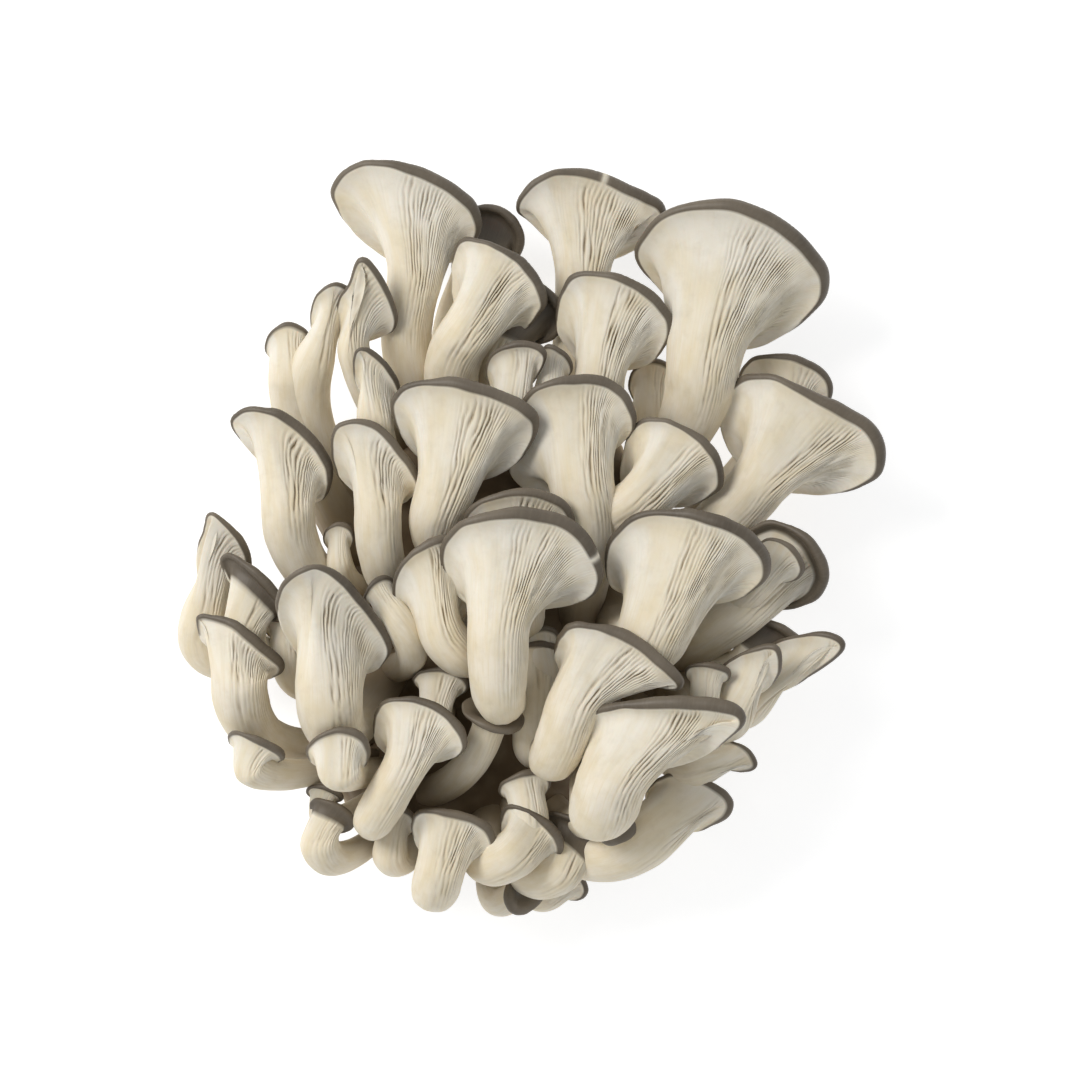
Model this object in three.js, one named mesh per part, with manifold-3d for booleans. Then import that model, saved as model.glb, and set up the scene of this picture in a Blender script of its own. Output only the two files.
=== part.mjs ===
// A cluster of grey oyster mushrooms, picked whole and lying on the cut face of its base, where the
// stems grew together. Millimetres, +Z up. +Y is the way the caps grew, and their gills face +Z. The
// origin is under the middle of the cluster, level with the cut face. Each mushroom is one body: stem,
// gills and cap in one.
import * as THREE from 'three';
import Module from 'manifold-3d';

const wasm = await Module();
wasm.setup();

// What all the mushrooms share, in millimetres, degrees and shares of one.
const clearance = 0.4; // how far a body is grown to leave room round it for those that press against it
const smallestFacet = 0.08; // how far the faces of a trimmed body may move when slivers are taken out
const marginBase = 0.5; // half the thickness of every cap's rounded edge
const marginShare = 0.035; // and what the cap's width adds to it
const usualCurl = 12; // how far the cap's edge turns down towards the gills
const edgeWave = 0.02; // height of the waves in the cap's edge, as a share of the cap's width
const neckStiffness = 0.2; // how far the gilled side runs on along the stem, as a share of its length
const edgeStiffness = 0.3; // and how far it runs straight before the edge
const topStiffness = 0.4; // how far the top of the cap runs straight at either end, as a share of its length
const hollowHeight = 0.55; // of the hollow on top of the cap, as a share of the cap's depth
const hollowAcross = 0.6; // how far it lies to the side, as a share of how far the cap's middle does
const hollowOnward = 0.7; // and how far to the front, as a share of that way
const gillHeight = 0.55; // from the middle of a gill's side to its crest, and to the valley beside it
const fullGillWidth = 30; // a cap at least this wide has gills of that height
const gillsAtEdge = 0.35; // height of the gills at the cap's edge, as a share of their height
const gillsBehind = 0.1; // height of the gills behind the stem, as a share of their height in front
const frontCrowding = 0.3; // how much closer the gills stand in front of the stem than behind it
const ovalFan = 0.2; // how much wider an oval cap is in front than behind
const fleshColour = '#ddd5c6';
const baseColour = '#cfc6b4';

// One row for each mushroom:
// [neck], [heading, tilt, depth, curl], [radius at neck, at foot], [elbow], [foot], [edge]
// The neck is where the stem opens into the cap. The heading turns from +X to +Y, and the tilt lays the
// cap back so that its gills face +Z. Depth is the height of the cap's edge over the neck. The stem bends
// towards the elbow, and its foot is sunk in the base. The edge of the cap is eight points round the neck,
// each [to the right, to the front], from the right by way of the front. An oval edge is given by its
// width, its reach in front of the neck and behind it, and how far it lies to the right.
const largeMushrooms = {
  top_right: [
    [53, 52, 36], [73, 56, 15], [11, 6.5], [53, 35, 30], [30, 10, 14],
    [[27, 27], [17, 40], [-3, 46], [-22, 39], [-28, 22], [-16, 11], [1, 0], [19, 9]],
  ],
  top_left: [
    [-34, 76, 34], [80, 58, 13], [8, 6.5], [-42, 50, 26], [-20, 26, 12],
    [[15, 16], [9, 25], [-6, 31], [-20, 31], [-28, 22], [-22, 11], [-7, 1], [9, 4]],
  ],
  top_middle: [
    [17, 81, 26], [92, 62, 11], [8, 7.5], [16, 60, 20], [13, 34, 12],
    [[24, 14], [17, 19], [2, 26], [-10, 27], [-18, 19], [-14, 12], [0, -1], [18, 4]],
  ],
  far_right: [
    [71, 19, 42], [55, 56, 12], [9, 8], [60, 3, 34], [41, -6, 18],
    [[26, 14], [19, 24], [3, 25], [-14, 23], [-22, 12], [-17, -3], [0, -9], [16, -1]],
  ],
  upper_left: [
    [-25, 12, 54], [76, 56, 12], [8.5, 5], [-31, -1, 48], [-19, -12, 28],
    [[21, 22], [15, 30], [-2, 32], [-16, 28], [-20, 20], [-13, 8], [1, 0], [16, 8]],
  ],
  upper_middle: [
    [17, 15, 50], [92, 56, 11], [9.5, 6], [22, -6, 44], [13, -30, 26],
    [[15, 17], [10, 27], [0, 30], [-13, 28], [-20, 13], [-20, -2], [-7, -8], [11, 8]],
  ],
  left: [
    [-58, -43, 64], [92, 50, 11], [10, 6.5], [-59, -71, 52], [-40, -36, 24],
    [[17, 4], [11, 19], [3, 32], [-4, 36], [-12, 29], [-13, 14], [-5, -2], [11, -4]],
  ],
  centre: [
    [-8, -26, 72], [84, 56, 14], [9, 5], [-9, -69, 66], [-2, -24, 30],
    [[27, 11], [18, 26], [1, 30], [-13, 26], [-18, 13], [-12, 0], [1, -2], [20, 2]],
  ],
  centre_right: [
    [38, -26, 60], [74, 56, 12], [11, 7], [34, -37, 54], [25, -18, 22],
    [[26, 20], [18, 31], [4, 33], [-12, 28], [-19, 16], [-15, 3], [-1, 2], [18, 8]],
  ],
  lower_right: [
    [14, -48, 66], [62, 50, 10], [8, 5.5], [3, -82, 62], [10, -45, 28],
    [[24, 17], [15, 20], [2, 21], [-9, 19], [-12, 13], [-10, 3], [2, -3], [15, 9]],
  ],
  low_right: [
    [25, -71, 68], [75, 42, 13], [10.5, 5], [19, -96, 62], [19, -48, 20],
    [[31, 25], [22, 26], [8, 23], [-5, 17], [-12, 8], [-11, -7], [0, -12], [21, 5]],
  ],
};
const mediumMushrooms = {
  top_left_front: [
    [-17, 63, 42], [58, 58, 11], [8.5, 7.5], [-31, 47, 34], [-10, 22, 14],
    [[14, 12], [10, 18], [1, 22], [-9, 22], [-16, 17], [-13, 6], [-4, -3], [11, 1]],
  ],
  top_middle_front: [
    [22, 49, 40], [72, 58, 11], [7.5, 7], [22, 34, 32], [18, 22, 18],
    [[15, 15], [9, 23], [-3, 27], [-15, 24], [-18, 15], [-15, 4], [-4, -4], [11, 2]],
  ],
  top_left_behind: [[-17, 77, 22], [66, 58, 11, 60], [7, 7], [-27, 58, 14], [-20, 34, 10], [19, 21, 2, -2]],
  top_left_hooded: [[-8, 58, 30], [50, 50, 9, 60], [7, 7], [-11, 43, 24], [-8, 28, 14], [21, 20, 2, -2]],
  upper_right: [
    [34, 12, 50], [55, 56, 10], [8, 7], [22, 3, 44], [23, 12, 18],
    [[16, 11], [12, 19], [4, 22], [-7, 21], [-13, 15], [-12, 4], [-4, -7], [11, 0]],
  ],
  far_upper_left: [
    [-71, 11, 48], [68, 54, 10], [8, 7], [-72, -10, 42], [-52, -18, 22],
    [[8, 6], [2, 14], [-11, 20], [-20, 19], [-24, 13], [-17, 7], [-4, -3], [7, -3]],
  ],
  upper_left_outer: [
    [-44, 10, 54], [74, 55, 9], [7, 6], [-44, -20, 50], [-34, -10, 16],
    [[9, 5], [2, 13], [-8, 20], [-17, 18], [-17, 9], [-12, -1], [-1, -6], [7, -1]],
  ],
  far_left_pointed: [
    [-97, -22, 34], [65, 55, 8], [7, 6.5], [-105, -45, 28], [-60, -30, 12],
    [[9, 5], [4, 19], [-3, 26], [-10, 29], [-10, 22], [-9, 12], [-2, -1], [7, 1]],
  ],
  far_left_bowed: [
    [-85, -39, 56], [66, 46, 8], [8.5, 4], [-87, -73, 40], [-42, -56, 14],
    [[10, -1], [3, 4], [-7, 8], [-16, 6], [-17, 4], [-13, -3], [-2, -7], [7, -7]],
  ],
  lower_left: [
    [-36, -67, 62], [62, 54, 9], [6.5, 5.5], [-54, -98, 56], [-38, -69, 22],
    [[12, 11], [5, 16], [-5, 16], [-13, 12], [-14, 5], [-10, -4], [0, -6], [10, 3]],
  ],
  centre_left: [
    [-25, -27, 60], [108, 54, 9], [7, 6.5], [-14, -44, 56], [-14, -18, 30],
    [[15, 16], [11, 23], [4, 24], [-4, 21], [-9, 13], [-8, 3], [-2, -7], [9, -1]],
  ],
  centre_behind: [[-1, -14, 56], [88, 54, 9], [7, 6.5], [-1, -29, 50], [-2, -18, 32], [30, 27, 1, -2]],
  far_right_curled: [
    [65, -21, 42], [45, 58, 8, 60], [7.5, 7], [52, -30, 38], [44, -36, 20], [25, 27, 0, -2],
  ],
  bottom_right: [
    [39, -86, 44], [42, 56, 9], [9, 8], [20, -105, 34], [-5, -79, 16],
    [[10, 11], [9, 18], [3, 18], [-7, 13], [-10, 5], [-8, -2], [1, -4], [8, 2]],
  ],
  bottom_middle: [
    [-25, -96, 54], [70, 50, 8], [7.5, 6.5], [-30, -115, 46], [-23, -88, 18],
    [[12, 5], [7, 11], [-2, 12], [-10, 10], [-12, 4], [-8, -5], [1, -7], [10, -1]],
  ],
  bottom_middle_right: [
    [-2, -92, 50], [60, 50, 7, 45], [7.5, 6.5], [-20, -104, 42], [-8, -79, 18],
    [[10, 0], [7, 5], [2, 7], [-4, 8], [-9, 5], [-7, -3], [-1, -8], [7, -5]],
  ],
};
const smallMushrooms = {
  far_right_behind: [[77, 34, 26], [75, 60, 8], [6.5, 6], [67, 19, 20], [38, -8, 10], [26, 19, 2, -2]],
  top_middle_behind: [[38, 37, 20], [88, 60, 8], [7, 7], [38, 22, 16], [29, 13, 10], [13, 15, 2, 0]],
  high_left_upper: [
    [-64, 54, 36], [98, 52, 6, 0], [6.5, 6], [-71, 34, 26], [-46, 2, 12],
    [[13, 10], [14, 17], [10, 22], [5, 20], [2, 14], [1, 7], [3, 3], [10, 4]],
  ],
  high_left_outer: [
    [-71, 51, 32], [105, 52, 5, 0], [7, 7.5], [-71, 29, 24], [-49, -6, 14],
    [[7, 4], [7, 9], [3, 13], [-2, 12], [-5, 8], [-5, 4], [-1, 0], [4, 0]],
  ],
  high_left_pointed: [
    [-52, 58, 42], [75, 50, 7], [5, 5], [-47, 38, 34], [-37, 30, 12],
    [[10, 7], [6, 16], [-3, 26], [-5, 17], [-7, 10], [-6, 0], [-1, -4], [7, 1]],
  ],
  high_left_inner: [
    [-45, 38, 50], [85, 55, 7, 25], [5.5, 5.5], [-45, 21, 42], [-34, 16, 12],
    [[6, 3], [2, 11], [-3, 16], [-6, 17], [-7, 13], [-6, 5], [-2, -1], [3, -1]],
  ],
  nook_left: [
    [-4, 40, 46], [75, 52, 6, 25], [6, 5.5], [-4, 30, 38], [0, 25, 20],
    [[5, 15], [2, 18], [-4, 17], [-9, 13], [-10, 6], [-7, 0], [-2, -1], [3, 5]],
  ],
  nook_right: [
    [7, 44, 42], [68, 52, 5], [5, 5], [6, 31, 34], [7, 25, 18],
    [[3, 7], [0, 11], [-5, 12], [-7, 9], [-7, 4], [-5, 0], [-1, -2], [2, 2]],
  ],
  upper_left_tucked: [[-56, -6, 42], [92, 50, 4], [4, 4], [-54, -15, 36], [-47, -15, 22], [8, 10, 1, 0]],
  far_left_folded: [
    [-84, -25, 46], [42, 45, 7, 55], [6.5, 6], [-87, -42, 40], [-60, -28, 14], [23, 10, 1, -7],
  ],
  far_left_inner: [[-72, -34, 40], [95, 50, 5], [5, 5], [-71, -48, 36], [-57, -42, 20], [11, 12, 0, 0]],
  far_left_low: [
    [-82, -66, 62], [68, 45, 4, 15], [5.5, 3.5], [-73, -72, 50], [-44, -66, 18],
    [[7, -1], [5, 4], [0, 6], [-5, 6], [-7, 1], [-5, -4], [0, -6], [5, -5]],
  ],
  lower_left_outer: [
    [-55, -66, 70], [88, 48, 5, 20], [6.5, 4], [-55, -70, 61], [-41, -69, 21],
    [[8, -1], [6, 6], [0, 8], [-6, 6], [-9, 1], [-7, -5], [-1, -8], [6, -6]],
  ],
  bottom_left: [[-62, -89, 46], [56, 50, 6], [6, 3.5], [-60, -105, 38], [-34, -80, 14], [13, 9, 1, -1]],
  bottom_left_hooded: [
    [-62, -81, 42], [75, 40, 4, 60], [3.5, 3.5], [-59, -88, 36], [-40, -74, 16], [9, 6, 1, 0],
  ],
  bottom_left_inner: [
    [-41, -93, 38], [80, 50, 5], [5.5, 5.5], [-40, -102, 32], [-26, -82, 14], [11, 12, 1, 0],
  ],
  lower_left_behind: [[-27, -50, 48], [80, 52, 6], [5, 5], [-27, -59, 42], [-26, -48, 22], [15, 9, 1, 0]],
  centre_left_curled: [
    [-40, -21, 58], [128, 48, 5], [5, 4.5], [-26, -38, 56], [-45, -39, 22], [9, 8, 1, 1],
  ],
  far_right_nested: [[69, -13, 50], [50, 48, 5], [4.5, 4.5], [63, -20, 44], [47, -30, 22], [14, 14, 1, 0]],
  lower_right_outer: [
    [62, -51, 48], [68, 48, 6], [6.5, 6], [59, -60, 40], [42, -42, 22],
    [[7, 16], [4, 23], [0, 21], [-5, 16], [-8, 8], [-6, 0], [0, -2], [6, 7]],
  ],
  lower_right_hooded: [
    [66, -37, 38], [58, 50, 7, 60], [6, 6], [56, -45, 32], [44, -30, 18], [21, 12, 1, 3],
  ],
  lower_right_tip: [
    [68, -49, 36], [50, 48, 6], [6, 6], [63, -56, 32], [47, -36, 18],
    [[7, 20], [8, 34], [2, 33], [-4, 25], [-7, 16], [-6, 6], [-1, -2], [5, 8]],
  ],
  lower_right_behind: [[53, -47, 54], [84, 40, 5], [4.5, 4.5], [52, -58, 46], [44, -39, 24], [12, 9, 0, 0]],
  low_right_tip: [
    [53, -67, 44], [20, 58, 5, 0], [6, 6], [43, -71, 38], [34, -46, 16],
    [[5, 8], [5, 13], [0, 12], [-4, 8], [-6, 3], [-3, -1], [0, -1], [3, 3]],
  ],
  bottom_middle_behind: [[1, -82, 46], [100, 46, 6], [6, 6], [0, -90, 40], [-3, -76, 20], [14, 11, 1, 0]],
  bottom_right_behind: [
    [12, -98, 40], [55, 52, 6, 40], [6.5, 6.5], [-3, -110, 32], [-8, -79, 14], [19, 11, 1, -4],
  ],
  bottom_right_button: [[25, -84, 51], [-15, -60, 4], [4, 4], [17, -88, 46], [7, -79, 16], [10, 6, 6, 0]],
  bottom_button: [[-3, -107, 26], [5, -55, 4], [4.5, 4.5], [-14, -117, 19], [-10, -90, 12], [10, 7, 7, 0]],
  bottom_small: [[7.5, -108.5, 18], [35, 50, 4], [4, 4], [-1, -113, 14], [-4, -90, 10], [10, 10, 1, 0]],
  centre_low_turned: [[-11, -55, 50], [75, -35, 5], [5, 5], [-16, -72, 44], [-32, -77, 18], [17, 8, 8, 0]],
  centre_under: [[6, -37, 46], [100, 50, 5], [5, 5], [6, -48, 40], [6, -33, 26], [9, 9, 1, 0]],
  lower_middle_under: [[3, -44, 46], [88, 52, 6], [7, 7], [2, -77, 42], [6, -48, 26], [16, 11, 1, 0]],
};

// How finely each size is built: how many sides the stem has, where the rings of points lie on the stem,
// and where they lie on the gilled side and on the top of the cap, with how many times as many points
// each ring has.
const fineness = {
  large: { sides: 7, stem: [0, 0.35, 0.7], gilled: [[0, 1], [0.25, 2], [0.6, 4], [1, 4]], top: [[0.3, 2]] },
  medium: { sides: 6, stem: [0, 0.35, 0.7], gilled: [[0, 1], [0.25, 2], [0.6, 4], [1, 4]], top: [[0.3, 2]] },
  small: { sides: 6, stem: [0, 0.5], gilled: [[0, 1], [0.5, 2], [1, 2]], top: [[0.35, 1]] },
};

// The lumps of the base, as [centre], [radii]. They are cut off level with the ground.
const baseLumps = [
  [[-4, -30, 8], [40, 44, 30]],
  [[-14, -74, 8], [34, 22, 22]],
  [[4, 14, 6], [32, 28, 24]],
  [[-46, -32, 7], [24, 34, 24]],
  [[42, -28, 7], [22, 32, 24]],
  [[-40, -72, 7], [20, 16, 20]],
  [[-32, 14, 6], [22, 26, 18]],
];
const turnsOut = 20; // how many times the way out of a grown body's corner is turned
const turnShare = 0.3; // and how far at each turn
const leastFacing = 0.3; // a sharp corner of a grown body moves by the growth over this, at the most
const lumpDetail = 2; // how many times the faces of an icosahedron are split for a lump

const vector = (at) => new THREE.Vector3(...at);
const { degToRad, euclideanModulo, lerp, smoothstep } = THREE.MathUtils;

// A point of a cubic Bezier curve.
function bezier(a, b, c, d, t) {
  const u = 1 - t;
  return new THREE.Vector3()
    .addScaledVector(a, u * u * u)
    .addScaledVector(b, 3 * u * u * t)
    .addScaledVector(c, 3 * u * t * t)
    .addScaledVector(d, t * t * t);
}

// The stem: rings round a curve from the foot to the neck, with their sides carried down from the cap.
function stemShape(neck, elbow, foot, [neckRadius, footRadius], capSide) {
  const towardsFoot = foot.clone().lerp(elbow, 2 / 3);
  const towardsNeck = neck.clone().lerp(elbow, 2 / 3);
  const along = (t) => elbow.clone().sub(foot).lerp(neck.clone().sub(elbow), t).normalize();
  const sideways = (t) => {
    const side = capSide.clone();
    const steps = 8;
    for (let step = 0; step <= steps; step++) {
      const here = along(lerp(1, t, step / steps));
      side.addScaledVector(here, -side.dot(here)).normalize();
    }
    return side;
  };
  const ring = (t, angle) => {
    const side = sideways(t);
    const front = new THREE.Vector3().crossVectors(side, along(t));
    const radius = lerp(footRadius, neckRadius, smoothstep(t, 0, 1));
    return bezier(foot, towardsFoot, towardsNeck, neck, t)
      .addScaledVector(side, radius * Math.cos(angle))
      .addScaledVector(front, radius * Math.sin(angle));
  };
  return { along, ring };
}

// The eight points of an oval edge.
function ovalEdge([width, reach, back, right]) {
  return Array.from({ length: 8 }, (_, k) => {
    const [across, onward] = [Math.cos((k * Math.PI) / 4), Math.sin((k * Math.PI) / 4)];
    const x = (width / 2) * across * (1 + ovalFan * onward);
    return [right + x, (reach - back) / 2 + ((reach + back) / 2) * onward];
  });
}

const edgePoints = (edge) => (Array.isArray(edge[0]) ? edge : ovalEdge(edge));

function widthOf(edge) {
  const across = edgePoints(edge).map(([x]) => x);
  return Math.max(...across) - Math.min(...across);
}

// The shape of one mushroom, as functions of the angle round the stem. The cap reaches furthest at 90
// degrees, in front, and the seed turns the waves in its edge.
function mushroomShape(row, seed) {
  const [neckAt, [heading, tilt, depth, curl = usualCurl], radii, elbowAt, footAt, edgeRow] = row;
  const corners = edgePoints(edgeRow).map(([x, y]) => new THREE.Vector3(x, y, 0));
  const outline = new THREE.CatmullRomCurve3(corners, true, 'catmullrom');
  const width = widthOf(edgeRow);
  const neck = vector(neckAt);
  const ahead = new THREE.Vector3(Math.cos(degToRad(heading)), Math.sin(degToRad(heading)), 0);
  const up = new THREE.Vector3(0, 0, 1);
  const [tilted, level] = [Math.sin(degToRad(tilt)), Math.cos(degToRad(tilt))];
  const capAxis = ahead.clone().multiplyScalar(level).addScaledVector(up, -tilted);
  const capFront = ahead.clone().multiplyScalar(tilted).addScaledVector(up, level);
  const capSide = new THREE.Vector3().crossVectors(ahead, up);
  const stem = stemShape(neck, vector(elbowAt), vector(footAt), radii, capSide);
  const margin = marginBase + marginShare * width;
  const [turnedDown, turnedOut] = [Math.sin(degToRad(curl)), Math.cos(degToRad(curl))];

  // The edge of the cap, with the ways out of it and up from it.
  const rim = (angle) => {
    const share = euclideanModulo(angle / (2 * Math.PI), 1);
    const { x, y } = outline.getPoint(share);
    const onward = outline.getTangent(share);
    const wave = Math.sin(2 * angle + 1.7 * seed) + 0.7 * Math.sin(3 * angle + 2.9 * seed);
    const at = neck
      .clone()
      .addScaledVector(capAxis, depth + edgeWave * width * wave)
      .addScaledVector(capSide, x)
      .addScaledVector(capFront, y);
    const outward = capSide.clone().multiplyScalar(onward.y).addScaledVector(capFront, -onward.x);
    const out = outward.clone().multiplyScalar(turnedOut).addScaledVector(capAxis, -turnedDown);
    const above = capAxis.clone().multiplyScalar(turnedOut).addScaledVector(outward, turnedDown);
    return { at, out, above, outward };
  };
  const edge = (angle) => {
    const { at, out, above } = rim(angle);
    return at.addScaledVector(above, margin).addScaledVector(out, margin);
  };

  // The gilled side, from the neck at 0 to the edge at 1.
  const gilled = (share, angle) => {
    const start = stem.ring(1, angle);
    const { at, out } = rim(angle);
    const span = start.distanceTo(at);
    const leaving = start.clone().addScaledVector(stem.along(1), neckStiffness * span);
    const arriving = at.clone().addScaledVector(out, -edgeStiffness * span);
    return bezier(start, leaving, arriving, at, share);
  };

  // The top of the cap, from the edge at 0 to the hollow over the stem at 1.
  const middle = corners.reduce((sum, at) => sum.add(at), new THREE.Vector3()).divideScalar(corners.length);
  const hollow = neck
    .clone()
    .addScaledVector(capAxis, hollowHeight * depth + margin)
    .addScaledVector(capSide, hollowAcross * middle.x)
    .addScaledVector(capFront, hollowOnward * middle.y + 1);
  const top = (share, angle) => {
    const { at, out, above, outward } = rim(angle);
    const start = at.clone().addScaledVector(above, 2 * margin);
    const span = start.distanceTo(hollow);
    const leaving = start.clone().addScaledVector(out, -topStiffness * span);
    const arriving = hollow.clone().addScaledVector(outward, topStiffness * span);
    return bezier(start, leaving, arriving, hollow, share);
  };
  return { stem, edge, gilled, top, hollow };
}

// How high a point of the gilled side is raised: the crest of a gill and the valley beside it, by turns.
function gillRelief(shape, share, angle, isValley, capWidth) {
  const step = 0.04;
  const around = shape.gilled(share, angle + step).sub(shape.gilled(share, angle - step));
  const onward = shape.gilled(Math.min(share + step, 1), angle).sub(shape.gilled(share - step, angle));
  const outside = around.cross(onward).normalize();
  const fading = (share === 1 ? gillsAtEdge : 1) * lerp(gillsBehind, 1, (1 + Math.sin(angle)) / 2);
  const height = gillHeight * fading * Math.min(1, capWidth / fullGillWidth);
  return outside.multiplyScalar(isValley ? -height : height);
}

// Triangles between two rings of points, given by their indices. One ring may have twice as many points.
function stitch(lower, upper) {
  const triangles = [];
  const n = Math.min(lower.length, upper.length);
  for (let k = 0; k < n; k++) {
    const next = (k + 1) % n;
    if (lower.length === upper.length) {
      triangles.push(lower[k], upper[next], lower[next]);
      triangles.push(lower[k], upper[k], upper[next]);
    } else if (upper.length > lower.length) {
      const between = upper[2 * k + 1];
      triangles.push(lower[k], upper[2 * k], between);
      triangles.push(lower[k], between, lower[next]);
      triangles.push(lower[next], between, upper[2 * next]);
    } else {
      const between = lower[2 * k + 1];
      triangles.push(lower[2 * k], upper[k], between);
      triangles.push(between, upper[k], upper[next]);
      triangles.push(between, upper[next], lower[2 * next]);
    }
  }
  return triangles;
}

// Where a point goes when the faces round it, given by their normals, all move out by some millimetres.
// The way out is turned towards whichever face it leaves the least room.
function movedOut(at, normals, grown) {
  const leastFaced = (way) => normals.reduce((a, b) => (b.dot(way) < a.dot(way) ? b : a));
  const way = normals.reduce((sum, normal) => sum.add(normal), new THREE.Vector3()).normalize();
  for (let turn = 0; turn < turnsOut; turn++) way.addScaledVector(leastFaced(way), turnShare).normalize();
  return at.clone().addScaledVector(way, grown / Math.max(leastFaced(way).dot(way), leastFacing));
}

// A solid from points and triangles, its faces first moved out by some millimetres.
function solidOf(points, triangles, grown) {
  const normals = points.map(() => []);
  for (let i = 0; i < triangles.length; i += 3) {
    const corners = triangles.slice(i, i + 3);
    const face = new THREE.Triangle(...corners.map((corner) => points[corner]));
    const normal = face.getNormal(new THREE.Vector3());
    for (const corner of corners) normals[corner].push(normal);
  }
  const moved = grown ? points.map((at, i) => movedOut(at, normals[i], grown)) : points;
  const vertProperties = new Float32Array(moved.flatMap((at) => at.toArray()));
  const triVerts = new Uint32Array(triangles);
  return new wasm.Manifold(new wasm.Mesh({ numProp: 3, vertProperties, triVerts }));
}

// The solid of one mushroom. Growing it by some millimetres leaves room round it.
function mushroomSolid({ row, seed, size }, grown) {
  const shape = mushroomShape(row, seed);
  const { sides, stem, gilled, top } = fineness[size];
  const capWidth = widthOf(row.at(-1));
  const points = [];
  const rings = [];
  const addRing = (times, place) => {
    const count = sides * times;
    const ring = [];
    for (let k = 0; k < count; k++) {
      const turn = (2 * Math.PI * k) / count;
      ring.push(points.push(place(turn + frontCrowding * Math.cos(turn), k % 2 === 1)) - 1);
    }
    rings.push(ring);
  };

  for (const t of stem) addRing(1, (angle) => shape.stem.ring(t, angle));
  for (const [share, times] of gilled) {
    addRing(times, (angle, isValley) => {
      const at = shape.gilled(share, angle);
      return times === 1 ? at : at.add(gillRelief(shape, share, angle, isValley, capWidth));
    });
  }
  addRing(gilled.at(-1)[1], (angle) => shape.edge(angle));
  for (const [share, times] of top) addRing(times, (angle) => shape.top(share, angle));

  const footCentre = points.push(shape.stem.ring(0, 0).lerp(shape.stem.ring(0, Math.PI), 0.5)) - 1;
  const hollow = points.push(shape.hollow) - 1;
  const triangles = rings.slice(1).flatMap((ring, i) => stitch(rings[i], ring));
  const first = rings[0];
  const last = rings.at(-1);
  first.forEach((at, k) => triangles.push(at, first[(k + 1) % first.length], footCentre));
  last.forEach((at, k) => triangles.push(at, hollow, last[(k + 1) % last.length]));
  return solidOf(points, triangles, grown);
}

// One lump of the base, with the corners that its faces share made one point.
function lumpSolid([centre, radii], grown) {
  const position = new THREE.IcosahedronGeometry(1, lumpDetail).getAttribute('position');
  const corners = new Map();
  const points = [];
  const triangles = [];
  for (let i = 0; i < position.count; i++) {
    const at = new THREE.Vector3().fromBufferAttribute(position, i);
    const key = at.toArray().map((x) => x.toFixed(4)).join();
    if (!corners.has(key)) {
      corners.set(key, points.push(at.multiply(vector(radii)).add(vector(centre))) - 1);
    }
    triangles.push(corners.get(key));
  }
  return solidOf(points, triangles, grown);
}

function baseSolid(grown) {
  const lumps = baseLumps.map((lump) => lumpSolid(lump, grown));
  return lumps.reduce((joined, lump) => joined.add(lump)).trimByPlane([0, 0, 1], -grown);
}

const largestOf = (solid) => solid.decompose().reduce((a, b) => (b.volume() > a.volume() ? b : a));

function meshOf(name, solid, color) {
  const { vertProperties, triVerts } = solid.getMesh();
  const geometry = new THREE.BufferGeometry()
    .setAttribute('position', new THREE.BufferAttribute(vertProperties, 3))
    .setIndex(new THREE.BufferAttribute(triVerts, 1));
  geometry.computeVertexNormals();
  const material = new THREE.MeshStandardMaterial({ color, roughness: 0.75, metalness: 0 });
  const mesh = new THREE.Mesh(geometry, material);
  mesh.name = name;
  return mesh;
}

const group = new THREE.Group();
group.add(meshOf('stem_base', baseSolid(0), baseColour));

// Every mushroom ends on the base, and gives way to those in front of it.
const sizes = { large: largeMushrooms, medium: mediumMushrooms, small: smallMushrooms };
const mushrooms = Object.entries(sizes)
  .flatMap(([size, rows]) => Object.entries(rows).map(([name, row]) => ({ name, row, size })))
  .map((mushroom, index) => ({ ...mushroom, seed: index + 1 }));
const neckHeight = (mushroom) => mushroom.row[0][2];
const inTheWay = [baseSolid(clearance)];
for (const mushroom of mushrooms.toSorted((a, b) => neckHeight(b) - neckHeight(a))) {
  const room = inTheWay.reduce((left, neighbour) => left.subtract(neighbour), mushroomSolid(mushroom, 0));
  const body = largestOf(room.simplify(smallestFacet));
  group.add(meshOf(`mushroom_${mushroom.name}`, body, fleshColour));
  inTheWay.push(mushroomSolid(mushroom, clearance));
}

// The origin goes under the middle of the whole cluster.
const middle = new THREE.Box3().setFromObject(group).getCenter(new THREE.Vector3());
for (const mesh of group.children) mesh.geometry.translate(-middle.x, -middle.y, 0);

export default group;
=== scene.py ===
import math
import bpy
import mathutils
import numpy as np
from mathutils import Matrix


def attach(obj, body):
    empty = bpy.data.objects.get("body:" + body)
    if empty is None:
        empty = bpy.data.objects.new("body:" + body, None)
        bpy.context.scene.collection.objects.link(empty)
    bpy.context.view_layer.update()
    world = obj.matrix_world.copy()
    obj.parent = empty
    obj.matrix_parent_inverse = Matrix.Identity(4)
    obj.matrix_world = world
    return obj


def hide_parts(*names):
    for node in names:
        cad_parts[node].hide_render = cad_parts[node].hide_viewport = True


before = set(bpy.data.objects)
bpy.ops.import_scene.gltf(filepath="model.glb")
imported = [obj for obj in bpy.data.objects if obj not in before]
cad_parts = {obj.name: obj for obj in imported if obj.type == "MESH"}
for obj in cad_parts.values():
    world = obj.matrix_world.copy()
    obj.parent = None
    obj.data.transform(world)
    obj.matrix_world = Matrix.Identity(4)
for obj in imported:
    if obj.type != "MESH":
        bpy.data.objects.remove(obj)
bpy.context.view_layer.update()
print("frame loaded")

millimetre = 0.001
# The frame's origin is under the middle of the cluster, which is here in the rows below.
clusterMiddle = np.array([1.941, 1.337, 0.0])

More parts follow.
